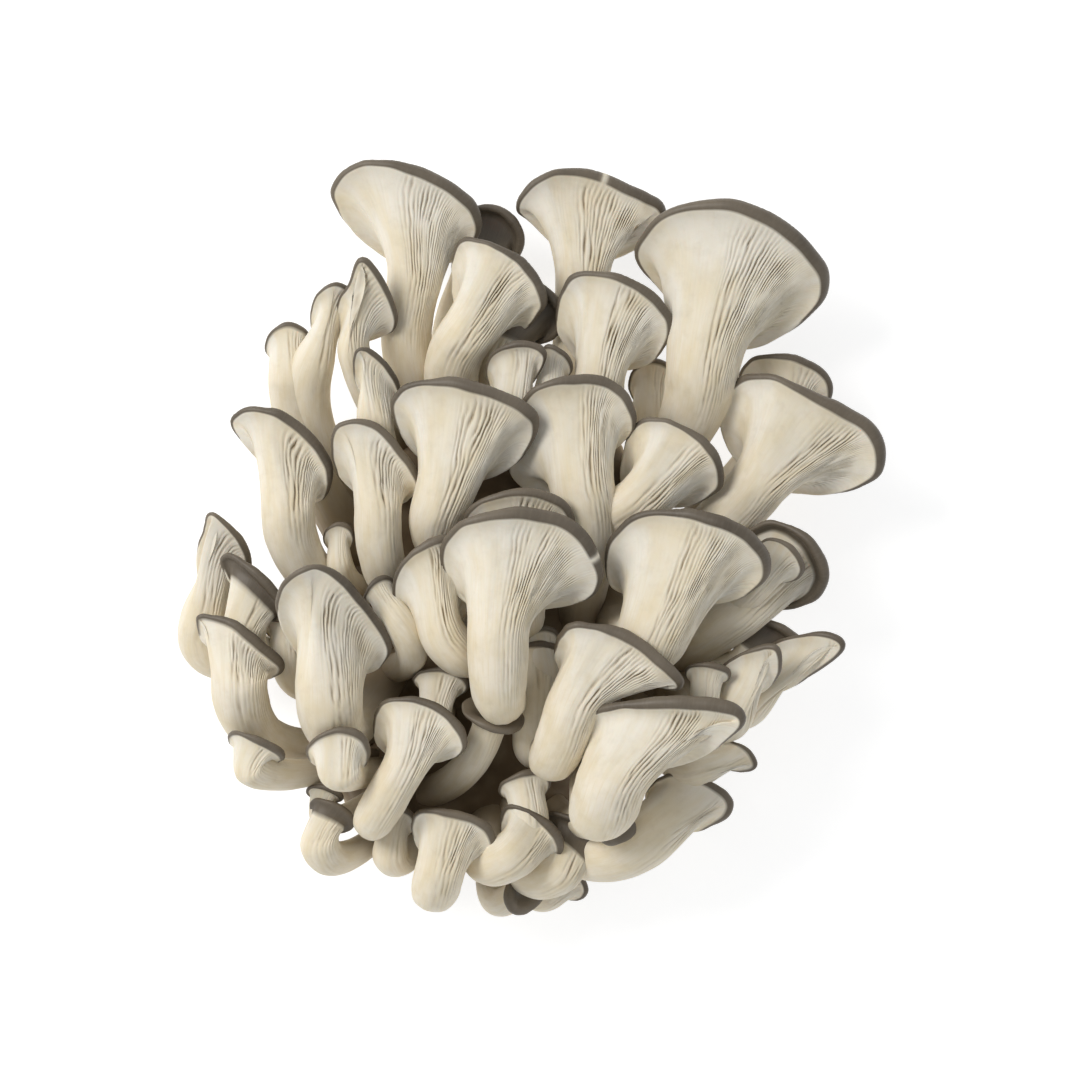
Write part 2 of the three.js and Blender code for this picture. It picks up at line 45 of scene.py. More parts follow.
# What every mushroom shares, in millimetres, radians and shares. Angles round a cap go from its right by way
# of its front, and what varies with them comes up between the two sines or cosines that are given.
growth = dict(
    marginBase=0.5, marginShare=0.035,  # half the thickness of the cap's edge, and what the width adds
    edgeThinned=0.65, edgeThickened=0.55,  # the edge where it is thinnest, and what its thick side gains
    thickest=math.radians(55), thickSide=(0.3, 1),  # the middle of that side, and its cosines
    thinnerBehind=0.5, thinSide=(0.1, -0.7),  # how much thinner it is behind the stem, and at which sines
    curl=12,  # degrees that the edge turns down, unless a mushroom says otherwise
    edgeWave=0.02,  # height of the waves of the edge, as a share of the width
    waves=((2, 1.7, 1.0), (3, 2.9, 0.7)),  # these lift it: how many, their shift, their height
    ruffles=((9, 4.7, 0.002), (14, 3.1, 0.0015)),  # and these push it out, by shares of the width
    ovalFan=0.2,  # how much wider an oval cap is in front than behind
    gilledShare=0.5,  # length of the gilled side, as a share of the cap's greatest reach
    ringCrowding=0.7,  # below one, the rings round the stem lie closer towards the neck
    neckStiffness=0.2, edgeStiffness=0.3,  # how far the gilled side runs straight at either end
    neckRounding=0.3,  # how far the bend at the neck is rounded, as a share of the gilled side
    leastRounding=0.8,  # and at least, as a share of the stem's radius
    topStiffness=0.4,  # how far the top of the cap runs straight at either end
    hollowHeight=0.55,  # of the hollow on top of the cap, as a share of the cap's depth
    hollowAcross=0.6, hollowOnward=0.7,  # how far it lies towards the middle of the cap, either way
    hollowLead=1,  # how much further to the front it lies
    skinStart=math.radians(6),  # how far round the edge the skin of the cap begins
    skinWander=0.06, skinWaves=7,  # how far that line wanders, and in how many waves
    skinSoftness=0.14, hoodSoftness=0.06,  # how softly the skin begins there, and on the gilled side
    barerBehind=1.2, bareSide=(-0.3, -0.75),  # how much later it begins behind the stem, at which sines
    nickWidth=0.035,  # of a nick in the skin
    threadsLost=0.75, threadsLostBy=0.7,  # how much of the threads the gilled side loses, and by where
    grainRadius=10,  # of the circle round a stem on which its noises lie
)
# How the gills of a cap stand.
gilling = dict(
    atLeast=6, perWidth=0.7,  # how many long ones there are, and how many more for each millimetre of width
    towards=math.radians(30), turned=math.radians(12),  # where they stand out, and how far that varies
    startsFrom=(-1.5, -1.05), endsBefore=(1.2, 0.9),  # where they come up on either side of its middle
    faint=0.05,  # their height elsewhere, as a share
    crowding=0.58,  # how much closer they stand on that side
    fullWidth=30,  # a cap at least this wide has gills of full height
    gapDepths=(0.55, 1.15),  # how deep the gaps are, at least and at most
    splits=(0.12, 0.6), splitSoftness=(0.1, 0.12),  # how far out a short gill splits a gap, and how softly
    atNeck=0.5,  # their height where the stem ends, as a share
    stemRise=(0.5, 1), risePower=1.5,  # where on the stem they rise to it, and how late
    capRise=(0, 0.3),  # where on the gilled side they rise to their full height
    fadeAt=0.62, fadeLength=0.2, fadeShare=0.9,  # where they fade towards the edge, and by how much
    fadeInFront=0.22, frontSide=(0.2, 1),  # how much later in front, and at which sines
    hoodSoftness=0.1,  # how softly they end where a hood begins
    atEdge=0.1,  # their height on the edge itself
)
# Painted shade: the lower stems darken towards the foot, where they lie in shade among the other stems.
stemFootShade = dict(share=0.9, gone=0.62, full=0.1)  # towards the foot, at these shares of the stem
# How many rings each part of a mushroom has. A ring has two, four or eight points for each long gill.
ringCounts = dict(
    large=dict(stem=34, gilled=36, edge=8, top=10),
    medium=dict(stem=30, gilled=28, edge=7, top=8),
    small=dict(stem=24, gilled=18, edge=6, top=6),
)

# One row for each mushroom, in millimetres and degrees. The neck is where the stem opens into the cap. The
# stem bends towards the elbow, and its foot is sunk in the base. The radii are at the neck and at the foot.
# The aim is the heading, from +X to +Y, the tilt, which lays the cap back so that its gills face up, and the
# height of the cap's edge over the neck. The edge is eight points (to the right, to the front) round the
# neck, or an oval (width, reach in front, reach behind, how far to the right). A hood is the share of the
# gilled side that shows skin, and a nick is a gap in the skin at that angle.
largeMushrooms = dict(
    topRight=dict(
        neck=(53, 52, 36), elbow=(53, 35, 30), foot=(30, 10, 14), radii=(11, 6.5), aim=(73, 56, 15),
        edge=[(27, 27), (17, 40), (-3, 46), (-22, 39), (-28, 22), (-16, 11), (1, 0), (19, 9)]),
    topLeft=dict(
        neck=(-34, 76, 34), elbow=(-42, 50, 26), foot=(-20, 26, 12), radii=(8, 6.5), aim=(80, 58, 13),
        edge=[(15, 16), (9, 25), (-6, 31), (-20, 31), (-28, 22), (-22, 11), (-7, 1), (9, 4)]),
    topMiddle=dict(
        neck=(17, 81, 26), elbow=(16, 60, 20), foot=(13, 34, 12), radii=(8, 7.5), aim=(92, 62, 11),
        nicks=(75,), edge=[(24, 14), (17, 19), (2, 26), (-10, 27), (-18, 19), (-14, 12), (0, -1), (18, 4)]),
    farRight=dict(
        neck=(71, 19, 42), elbow=(60, 3, 34), foot=(41, -6, 18), radii=(9, 8), aim=(55, 56, 12),
        edge=[(26, 14), (19, 24), (3, 25), (-14, 23), (-22, 12), (-17, -3), (0, -9), (16, -1)]),
    upperLeft=dict(
        neck=(-25, 12, 54), elbow=(-31, -1, 48), foot=(-19, -12, 28), radii=(8.5, 5), aim=(76, 56, 12),
        edge=[(21, 22), (15, 30), (-2, 32), (-16, 28), (-20, 20), (-13, 8), (1, 0), (16, 8)]),
    upperMiddle=dict(
        neck=(17, 15, 50), elbow=(22, -6, 44), foot=(13, -30, 26), radii=(9.5, 6), aim=(92, 56, 11),
        edge=[(15, 17), (10, 27), (0, 30), (-13, 28), (-20, 13), (-20, -2), (-7, -8), (11, 8)]),
    left=dict(
        neck=(-58, -43, 64), elbow=(-59, -71, 52), foot=(-40, -36, 24), radii=(10, 6.5), aim=(92, 50, 11),
        edge=[(17, 4), (11, 19), (3, 32), (-4, 36), (-12, 29), (-13, 14), (-5, -2), (11, -4)]),
    centre=dict(
        neck=(-8, -26, 72), elbow=(-9, -69, 66), foot=(-2, -24, 30), radii=(9, 5), aim=(84, 56, 14),
        nicks=(20,), edge=[(27, 11), (18, 26), (1, 30), (-13, 26), (-18, 13), (-12, 0), (1, -2), (20, 2)]),
    centreRight=dict(
        neck=(38, -26, 60), elbow=(34, -37, 54), foot=(25, -18, 22), radii=(11, 7), aim=(74, 56, 12),
        edge=[(26, 20), (18, 31), (4, 33), (-12, 28), (-19, 16), (-15, 3), (-1, 2), (18, 8)]),
    lowerRight=dict(
        neck=(14, -48, 66), elbow=(3, -82, 62), foot=(10, -45, 28), radii=(8, 5.5), aim=(62, 50, 10),
        edge=[(24, 17), (15, 20), (2, 21), (-9, 19), (-12, 13), (-10, 3), (2, -3), (15, 9)]),
    lowRight=dict(
        neck=(25, -71, 68), elbow=(19, -96, 62), foot=(19, -48, 20), radii=(10.5, 5), aim=(75, 42, 13),
        edge=[(31, 25), (22, 26), (8, 23), (-5, 17), (-12, 8), (-11, -7), (0, -12), (21, 5)]),
)
mediumMushrooms = dict(
    topLeftFront=dict(
        neck=(-17, 63, 42), elbow=(-31, 47, 34), foot=(-10, 22, 14), radii=(8.5, 7.5), aim=(58, 58, 11),
        edge=[(14, 12), (10, 18), (1, 22), (-9, 22), (-16, 17), (-13, 6), (-4, -3), (11, 1)]),
    topMiddleFront=dict(
        neck=(22, 49, 40), elbow=(22, 34, 32), foot=(18, 22, 18), radii=(7.5, 7), aim=(72, 58, 11),
        edge=[(15, 15), (9, 23), (-3, 27), (-15, 24), (-18, 15), (-15, 4), (-4, -4), (11, 2)]),
    topLeftBehind=dict(
        neck=(-17, 77, 22), elbow=(-27, 58, 14), foot=(-20, 34, 10), radii=(7, 7), aim=(66, 58, 11),
        curl=60, hood=0.75, oval=(19, 21, 2, -2)),
    topLeftHooded=dict(
        neck=(-8, 58, 30), elbow=(-11, 43, 24), foot=(-8, 28, 14), radii=(7, 7), aim=(50, 50, 9),
        curl=60, hood=0.7, oval=(21, 20, 2, -2)),
    upperRight=dict(
        neck=(34, 12, 50), elbow=(22, 3, 44), foot=(23, 12, 18), radii=(8, 7), aim=(55, 56, 10),
        edge=[(16, 11), (12, 19), (4, 22), (-7, 21), (-13, 15), (-12, 4), (-4, -7), (11, 0)]),
    farUpperLeft=dict(
        neck=(-71, 11, 48), elbow=(-72, -10, 42), foot=(-52, -18, 22), radii=(8, 7), aim=(68, 54, 10),
        edge=[(8, 6), (2, 14), (-11, 20), (-20, 19), (-24, 13), (-17, 7), (-4, -3), (7, -3)]),
    upperLeftOuter=dict(
        neck=(-44, 10, 54), elbow=(-44, -20, 50), foot=(-34, -10, 16), radii=(7, 6), aim=(74, 55, 9),
        edge=[(9, 5), (2, 13), (-8, 20), (-17, 18), (-17, 9), (-12, -1), (-1, -6), (7, -1)]),
    farLeftPointed=dict(
        neck=(-97, -22, 34), elbow=(-105, -45, 28), foot=(-60, -30, 12), radii=(7, 6.5), aim=(65, 55, 8),
        edge=[(9, 5), (4, 19), (-3, 26), (-10, 29), (-10, 22), (-9, 12), (-2, -1), (7, 1)]),
    farLeftBowed=dict(
        neck=(-85, -39, 56), elbow=(-87, -73, 40), foot=(-42, -56, 14), radii=(8.5, 4), aim=(66, 46, 8),
        edge=[(10, -1), (3, 4), (-7, 8), (-16, 6), (-17, 4), (-13, -3), (-2, -7), (7, -7)]),
    lowerLeft=dict(
        neck=(-36, -67, 62), elbow=(-54, -98, 56), foot=(-38, -69, 22), radii=(6.5, 5.5), aim=(62, 54, 9),
        edge=[(12, 11), (5, 16), (-5, 16), (-13, 12), (-14, 5), (-10, -4), (0, -6), (10, 3)]),
    centreLeft=dict(
        neck=(-25, -27, 60), elbow=(-14, -44, 56), foot=(-14, -18, 30), radii=(7, 6.5), aim=(108, 54, 9),
        edge=[(15, 16), (11, 23), (4, 24), (-4, 21), (-9, 13), (-8, 3), (-2, -7), (9, -1)]),
    centreBehind=dict(
        neck=(-1, -14, 56), elbow=(-1, -29, 50), foot=(-2, -18, 32), radii=(7, 6.5), aim=(88, 54, 9),
        oval=(30, 27, 1, -2)),
    farRightCurled=dict(
        neck=(65, -21, 42), elbow=(52, -30, 38), foot=(44, -36, 20), radii=(7.5, 7), aim=(45, 58, 8),
        curl=60, hood=0.12, oval=(25, 27, 0, -2)),
    bottomRight=dict(
        neck=(39, -86, 44), elbow=(20, -105, 34), foot=(-5, -79, 16), radii=(9, 8), aim=(42, 56, 9),
        edge=[(10, 11), (9, 18), (3, 18), (-7, 13), (-10, 5), (-8, -2), (1, -4), (8, 2)]),
    bottomMiddle=dict(
        neck=(-25, -96, 54), elbow=(-30, -115, 46), foot=(-23, -88, 18), radii=(7.5, 6.5), aim=(70, 50, 8),
        edge=[(12, 5), (7, 11), (-2, 12), (-10, 10), (-12, 4), (-8, -5), (1, -7), (10, -1)]),
    bottomMiddleRight=dict(
        neck=(-2, -92, 50), elbow=(-20, -104, 42), foot=(-8, -79, 18), radii=(7.5, 6.5), aim=(60, 50, 7),
        curl=45, edge=[(10, 0), (7, 5), (2, 7), (-4, 8), (-9, 5), (-7, -3), (-1, -8), (7, -5)]),
)
smallMushrooms = dict(
    farRightBehind=dict(
        neck=(77, 34, 26), elbow=(67, 19, 20), foot=(38, -8, 10), radii=(6.5, 6), aim=(75, 60, 8),
        oval=(26, 19, 2, -2)),
    topMiddleBehind=dict(
        neck=(38, 37, 20), elbow=(38, 22, 16), foot=(29, 13, 10), radii=(7, 7), aim=(88, 60, 8),
        oval=(13, 15, 2, 0)),
    highLeftUpper=dict(
        neck=(-64, 54, 36), elbow=(-71, 34, 26), foot=(-46, 2, 12), radii=(6.5, 6), aim=(98, 52, 6),
        curl=0, edge=[(13, 10), (14, 17), (10, 22), (5, 20), (2, 14), (1, 7), (3, 3), (10, 4)]),
    highLeftOuter=dict(
        neck=(-71, 51, 32), elbow=(-71, 29, 24), foot=(-49, -6, 14), radii=(7, 7.5), aim=(105, 52, 5),
        curl=0, edge=[(7, 4), (7, 9), (3, 13), (-2, 12), (-5, 8), (-5, 4), (-1, 0), (4, 0)]),
    highLeftPointed=dict(
        neck=(-52, 58, 42), elbow=(-47, 38, 34), foot=(-37, 30, 12), radii=(5, 5), aim=(75, 50, 7),
        edge=[(10, 7), (6, 16), (-3, 26), (-5, 17), (-7, 10), (-6, 0), (-1, -4), (7, 1)]),
    highLeftInner=dict(
        neck=(-45, 38, 50), elbow=(-45, 21, 42), foot=(-34, 16, 12), radii=(5.5, 5.5), aim=(85, 55, 7),
        curl=25, edge=[(6, 3), (2, 11), (-3, 16), (-6, 17), (-7, 13), (-6, 5), (-2, -1), (3, -1)]),
    nookLeft=dict(
        neck=(-4, 40, 46), elbow=(-4, 30, 38), foot=(0, 25, 20), radii=(6, 5.5), aim=(75, 52, 6),
        curl=25, edge=[(5, 15), (2, 18), (-4, 17), (-9, 13), (-10, 6), (-7, 0), (-2, -1), (3, 5)]),
    nookRight=dict(
        neck=(7, 44, 42), elbow=(6, 31, 34), foot=(7, 25, 18), radii=(5, 5), aim=(68, 52, 5),
        edge=[(3, 7), (0, 11), (-5, 12), (-7, 9), (-7, 4), (-5, 0), (-1, -2), (2, 2)]),
    upperLeftTucked=dict(
        neck=(-56, -6, 42), elbow=(-54, -15, 36), foot=(-47, -15, 22), radii=(4, 4), aim=(92, 50, 4),
        oval=(8, 10, 1, 0)),
    farLeftFolded=dict(
        neck=(-84, -25, 46), elbow=(-87, -42, 40), foot=(-60, -28, 14), radii=(6.5, 6), aim=(42, 45, 7),
        curl=55, hood=0.35, oval=(23, 10, 1, -7)),
    farLeftInner=dict(
        neck=(-72, -34, 40), elbow=(-71, -48, 36), foot=(-57, -42, 20), radii=(5, 5), aim=(95, 50, 5),
        oval=(11, 12, 0, 0)),
    farLeftLow=dict(
        neck=(-82, -66, 60), elbow=(-76, -73, 52), foot=(-44, -66, 18), radii=(5.5, 3.5), aim=(68, 20, 5),
        edge=[(8, 0), (6, 5), (0, 7), (-6, 6), (-8, 1), (-6, -5), (0, -8), (6, -6)]),
    lowerLeftOuter=dict(
        neck=(-55, -66, 70), elbow=(-55, -70, 61), foot=(-41, -69, 21), radii=(6.5, 4), aim=(88, 48, 5),
        curl=20, edge=[(8, -1), (6, 6), (0, 8), (-6, 6), (-9, 1), (-7, -5), (-1, -8), (6, -6)]),
    bottomLeft=dict(
        neck=(-62, -89, 46), elbow=(-60, -105, 38), foot=(-34, -80, 14), radii=(6, 3.5), aim=(56, 50, 6),
        hood=0.25, oval=(13, 9, 1, -1)),
    bottomLeftHooded=dict(
        neck=(-62, -81, 42), elbow=(-59, -88, 36), foot=(-40, -74, 16), radii=(3.5, 3.5), aim=(75, 40, 4),
        curl=60, oval=(9, 6, 1, 0)),
    bottomLeftInner=dict(
        neck=(-41, -93, 38), elbow=(-40, -102, 32), foot=(-26, -82, 14), radii=(5.5, 5.5), aim=(80, 50, 5),
        oval=(11, 12, 1, 0)),
    lowerLeftBehind=dict(
        neck=(-27, -50, 48), elbow=(-27, -59, 42), foot=(-26, -48, 22), radii=(5, 5), aim=(80, 52, 6),
        oval=(15, 9, 1, 0)),
    centreLeftCurled=dict(
        neck=(-40, -21, 58), elbow=(-26, -38, 56), foot=(-45, -39, 22), radii=(5, 4.5), aim=(128, 48, 5),
        oval=(9, 8, 1, 1)),
    farRightNested=dict(
        neck=(69, -13, 50), elbow=(63, -20, 44), foot=(47, -30, 22), radii=(4.5, 4.5), aim=(50, 48, 5),
        oval=(14, 14, 1, 0)),
    lowerRightOuter=dict(
        neck=(62, -51, 48), elbow=(59, -60, 40), foot=(42, -42, 22), radii=(6.5, 6), aim=(68, 48, 6),
        edge=[(7, 16), (4, 23), (0, 21), (-5, 16), (-8, 8), (-6, 0), (0, -2), (6, 7)]),
    lowerRightHooded=dict(
        neck=(66, -37, 38), elbow=(56, -45, 32), foot=(44, -30, 18), radii=(6, 6), aim=(58, 50, 7),
        curl=60, hood=0.6, oval=(21, 12, 1, 3)),
    lowerRightTip=dict(
        neck=(68, -49, 36), elbow=(63, -56, 32), foot=(47, -36, 18), radii=(6, 6), aim=(50, 48, 6),
        edge=[(7, 20), (8, 34), (2, 33), (-4, 25), (-7, 16), (-6, 6), (-1, -2), (5, 8)]),
    lowerRightBehind=dict(
        neck=(53, -47, 54), elbow=(52, -58, 46), foot=(44, -39, 24), radii=(4.5, 4.5), aim=(84, 40, 5),
        oval=(12, 9, 0, 0)),
    lowRightTip=dict(
        neck=(53, -67, 44), elbow=(43, -71, 38), foot=(34, -46, 16), radii=(6, 6), aim=(20, 58, 5),
        curl=0, edge=[(5, 8), (5, 13), (0, 12), (-4, 8), (-6, 3), (-3, -1), (0, -1), (3, 3)]),
    bottomMiddleBehind=dict(
        neck=(1, -82, 46), elbow=(0, -90, 40), foot=(-3, -76, 20), radii=(6, 6), aim=(100, 46, 6),
        oval=(14, 11, 1, 0)),
    bottomRightBehind=dict(
        neck=(12, -98, 40), elbow=(-3, -110, 32), foot=(-8, -79, 14), radii=(6.5, 6.5), aim=(55, 52, 6),
        curl=40, hood=0.45, oval=(19, 11, 1, -4)),
    bottomRightButton=dict(
        neck=(25, -84, 51), elbow=(17, -88, 46), foot=(7, -79, 16), radii=(4, 4), aim=(-15, -60, 4),
        oval=(10, 6, 6, 0)),
    bottomButton=dict(
        neck=(-3, -107, 26), elbow=(-14, -117, 19), foot=(-10, -90, 12), radii=(4.5, 4.5), aim=(5, -55, 4),
        oval=(10, 7, 7, 0)),
    bottomSmall=dict(
        neck=(7.5, -108.5, 18), elbow=(-1, -113, 14), foot=(-4, -90, 10), radii=(4, 4), aim=(35, 50, 4),
        oval=(10, 10, 1, 0)),
    centreLowTurned=dict(
        neck=(-11, -55, 50), elbow=(-16, -72, 44), foot=(-32, -77, 18), radii=(5, 5), aim=(75, -35, 5),
        oval=(17, 8, 8, 0)),
    centreUnder=dict(
        neck=(6, -37, 46), elbow=(6, -48, 40), foot=(6, -33, 26), radii=(5, 5), aim=(100, 50, 5),
        oval=(9, 9, 1, 0)),
    lowerMiddleUnder=dict(
        neck=(3, -44, 46), elbow=(2, -77, 42), foot=(6, -48, 26), radii=(7, 7), aim=(88, 52, 6),
        oval=(16, 11, 1, 0)),
)


def unit(vector):
    return vector / np.linalg.norm(vector, axis=-1, keepdims=True)


def smoothstep(low, high, value):
    share = np.clip((np.asarray(value, float) - low) / (high - low), 0, 1)
    return share * share * (3 - 2 * share)


def bezier(a, b, c, d, share):
    rest = 1 - share
    return rest**3 * a + 3 * rest * rest * share * b + 3 * rest * share * share * c + share**3 * d


# A sum of waves round a cap, each given as how many there are, their shift and their height.
def ripple(waves, angles, shift):
    return sum(height * np.sin(count * angles + start * shift) for count, start, height in waves)


# How far angles are from one of them, the short way round.
def turnedFrom(angles, start):
    return np.angle(np.exp(1j * (angles - start)))


# The eight corners of a cap's edge.
def edgeCorners(plan):
    if "edge" in plan:
        return np.array(plan["edge"], float)
    width, reach, back, right = plan["oval"]
    turns = np.arange(8) * math.pi / 4
    x = right + width / 2 * np.cos(turns) * (1 + growth["ovalFan"] * np.sin(turns))
    return np.stack([x, (reach - back) / 2 + (reach + back) / 2 * np.sin(turns)], 1)


# A smooth closed curve through the corners, and the way along it.
def smoothEdge(corners, angles):
    count = len(corners)
    place = (np.asarray(angles) / (2 * math.pi)) % 1 * count
    first = np.floor(place).astype(int)
    share = (place - first)[:, None]
    before, start, end, after = [corners[(first + step) % count] for step in (-1, 0, 1, 2)]
    leaving, arriving = (end - before) / 2, (after - start) / 2
    square, cube = 3 * (end - start) - 2 * leaving - arriving, 2 * (start - end) + leaving + arriving
    at = start + share * (leaving + share * (square + share * cube))
    return at, unit(leaving + share * (2 * square + 3 * share * cube))


# One mushroom: its measures, the curves that its flesh follows, and the rings of points drawn from them. A
# ring also holds what the gills, the threads and the skin need to know at each of its points.
class Mushroom:
    def __init__(self, plan, seed, counts):
        self.plan, self.seed, self.counts = plan, seed, counts
        self.neck, self.elbow, self.foot = [np.array(plan[key], float) for key in ("neck", "elbow", "foot")]
        self.corners = edgeCorners(plan)
        self.width = np.ptp(self.corners[:, 0])
        self.margin = growth["marginBase"] + growth["marginShare"] * self.width
        self.hood = 1 - plan.get("hood", 0)
        self.aimCap()
        self.stemLength = np.linalg.norm(self.elbow - self.foot) + np.linalg.norm(self.neck - self.elbow)
        self.span = growth["gilledShare"] * (self.width / 2 + np.max(self.corners[:, 1]))
        self.drawGills()
        self.rings = []

    # the ways across the cap, towards its front and along its axis, and the middle of its hollow
    def aimCap(self):
        heading, tilt, self.depth = self.plan["aim"]
        heading, tilt = math.radians(heading), math.radians(tilt)
        self.curl = math.radians(self.plan.get("curl", growth["curl"]))
        ahead = np.array([math.cos(heading), math.sin(heading), 0])
        up = np.array([0.0, 0.0, 1.0])
        self.axis = ahead * math.cos(tilt) - up * math.sin(tilt)
        self.front = ahead * math.sin(tilt) + up * math.cos(tilt)
        self.side = np.cross(ahead, up)
        middle = self.corners.mean(0)
        lifted = growth["hollowHeight"] * self.depth + self.margin
        hollow = self.neck + self.axis * lifted + self.side * growth["hollowAcross"] * middle[0]
        self.hollow = hollow + self.front * (growth["hollowOnward"] * middle[1] + growth["hollowLead"])

    # how many gills there are, how strong, and how they differ
    def drawGills(self):
        random = np.random.default_rng(self.seed)
        self.gills = round(gilling["atLeast"] + gilling["perWidth"] * self.width)
        self.relief = min(1, self.width / gilling["fullWidth"])
        self.gapDepths = random.uniform(*gilling["gapDepths"], self.gills)
        self.gapSplits = random.uniform(*gilling["splits"], self.gills)
        self.gillSide = gilling["towards"] + gilling["turned"] * random.uniform(-1, 1)

    # the way the stem runs
    def along(self, share):
        return unit((self.elbow - self.foot) * (1 - share) + (self.neck - self.elbow) * share)

    # a ring round the stem, whose right side is carried down from the cap
    def stemRing(self, share, angles):
        side = self.side
        steps = 8
        for step in range(steps + 1):
            here = self.along(1 + (share - 1) * step / steps)
            side = unit(side - here * side.dot(here))
        front = np.cross(side, self.along(share))
        atNeck, atFoot = self.plan["radii"]
        radius = atFoot + (atNeck - atFoot) * smoothstep(0, 1, share)
        towardsFoot = self.foot + (self.elbow - self.foot) * 2 / 3
        towardsNeck = self.neck + (self.elbow - self.neck) * 2 / 3
        centre = bezier(self.foot, towardsFoot, towardsNeck, self.neck, share)
        return centre + radius * (np.outer(np.cos(angles), side) + np.outer(np.sin(angles), front))

    # the edge of the gilled side, and there the ways out over it, up round it and out of the cap
    def rim(self, angles):
        point, onward = smoothEdge(self.corners, angles)
        ruffle = ripple(growth["ruffles"], angles, self.seed)
        wave = ripple(growth["waves"], angles, self.seed)
        outward = np.outer(onward[:, 1], self.side) - np.outer(onward[:, 0], self.front)
        at = self.neck + np.outer(self.depth + growth["edgeWave"] * self.width * wave, self.axis)
        at = at + np.outer(point[:, 0], self.side) + np.outer(point[:, 1], self.front)
        at = at + outward * (self.width * ruffle)[:, None]
        out = outward * math.cos(self.curl) - self.axis * math.sin(self.curl)
        above = self.axis * math.cos(self.curl) + outward * math.sin(self.curl)
        return at, out, above, outward

    # a ring so many millimetres beyond the neck, or before it where that is negative
    def flank(self, distance, angles):
        if distance < 0:
            return self.stemRing(max(1 + distance / self.stemLength, 0), angles)
        start = self.stemRing(1.0, angles)
        at, out = self.rim(angles)[:2]
        reach = np.linalg.norm(at - start, axis=1, keepdims=True)
        leaving = start + self.along(1.0) * growth["neckStiffness"] * reach
        arriving = at - out * growth["edgeStiffness"] * reach
        return bezier(start, leaving, arriving, at, min(distance / self.span, 1))

    # the same with the bend at the neck rounded: the mean of rings that lie closer together further from it
    def roundedFlank(self, distance, angles):
        spread = max(growth["neckRounding"] * self.span, growth["leastRounding"] * self.plan["radii"][0])
        spread = spread * (1 - smoothstep(0, 3 * spread, abs(distance)))
        steps = np.linspace(-0.9, 0.9, 7)
        weights = 1 - steps**2
        rings = [self.flank(distance + spread * step, angles) for step in steps]
        return sum(weight * ring for ring, weight in zip(rings, weights)) / weights.sum()

    # half the thickness of the edge
    def marginAt(self, angles):
        swollen = smoothstep(*growth["thickSide"], np.cos(angles - growth["thickest"]))
        return self.margin * (growth["edgeThinned"] + growth["edgeThickened"] * swollen)[:, None]

    # how strongly the gills stand out round the stem
    def gillsRound(self, angles):
        turned = turnedFrom(angles, self.gillSide)
        shown = smoothstep(*gilling["startsFrom"], turned) * smoothstep(*gilling["endsBefore"], turned)
        return self.relief * (gilling["faint"] + (1 - gilling["faint"]) * shown)

    # and how strongly they do so on the way out to the edge
    def gillsOutward(self, share, angles):
        later = gilling["fadeInFront"] * smoothstep(*gilling["frontSide"], np.sin(angles))
        fades = gilling["fadeAt"] + later
        shown = gilling["atNeck"] + (1 - gilling["atNeck"]) * smoothstep(*gilling["capRise"], share)
        shown = shown * (1 - gilling["fadeShare"] * smoothstep(fades, fades + gilling["fadeLength"], share))
        return self.gillsRound(angles) * shown * (1 - self.hooded(share, gilling["hoodSoftness"]))

    # how far a hood has begun
    def hooded(self, share, softness):
        return smoothstep(self.hood - softness, self.hood, share) * (self.hood < 1)

    # how far short gills have begun to split the gaps
    def shortGills(self, share, gap):
        before, beyond = gilling["splitSoftness"]
        return smoothstep(self.gapSplits[gap] - before, self.gapSplits[gap] + beyond, share)

    # how far the skin of the cap has begun, so many radians round its edge
    def skinRound(self, turned, angles):
        wander = growth["skinWander"] * np.sin(growth["skinWaves"] * angles + self.seed)
        later = growth["barerBehind"] * smoothstep(*growth["bareSide"], np.sin(angles))
        start = growth["skinStart"] + wander + later
        covered = smoothstep(start - growth["skinSoftness"], start + growth["skinSoftness"], turned)
        for nick in self.plan.get("nicks", ()):
            away = turnedFrom(angles, math.radians(nick))
            covered = covered * (1 - np.exp(-(away / growth["nickWidth"]) ** 2))
        return covered

    # Adds a ring. A fact about it is a value, or a function of the angles and of the gap at each of them.
    def addRing(self, count, place, length, **facts):
        turns = np.arange(count) / count
        angles = 2 * np.pi * turns
        angles = angles - gilling["crowding"] * np.sin(angles - self.gillSide)
        gap = np.floor(turns * self.gills + 1e-6).astype(int) % self.gills
        facts = {key: value(angles, gap) if callable(value) else value for key, value in facts.items()}
        across = growth["grainRadius"] * np.array([np.cos(angles), np.sin(angles)])
        grain = np.stack([*across, np.full(count, length)], 1)
        self.rings.append(dict(
            at=place(angles), around=turns * self.gills, gapDepth=self.gapDepths[gap], grain=grain, **facts))

    def addStem(self):
        for share in (np.arange(self.counts["stem"]) / self.counts["stem"]) ** growth["ringCrowding"]:
            risen = gilling["atNeck"] * smoothstep(*gilling["stemRise"], share) ** gilling["risePower"]
            # painted shade, growing towards the foot
            footShadeShare = smoothstep(stemFootShade["gone"], stemFootShade["full"], share)
            self.addRing(
                (4 if share > gilling["stemRise"][0] else 2) * self.gills,
                lambda angles: self.roundedFlank(self.stemLength * (share - 1), angles),
                self.stemLength * share,
                gilled=lambda angles, gap: risen * self.gillsRound(angles), between=0.0, thread=1.0,
                skin=0.0, deep=stemFootShade["share"] * footShadeShare)

    def addGilledSide(self):
        for share in np.linspace(0, 1, self.counts["gilled"] + 1):
            self.addRing(
                (8 if share > 0 else 4) * self.gills,
                lambda angles: self.roundedFlank(self.span * share, angles),
                self.stemLength + self.span * share,
                gilled=lambda angles, gap: self.gillsOutward(share, angles),
                between=lambda angles, gap: self.shortGills(share, gap),
                thread=1 - growth["threadsLost"] * smoothstep(0, growth["threadsLostBy"], share),
                skin=self.hooded(share, growth["hoodSoftness"]), deep=0.0)

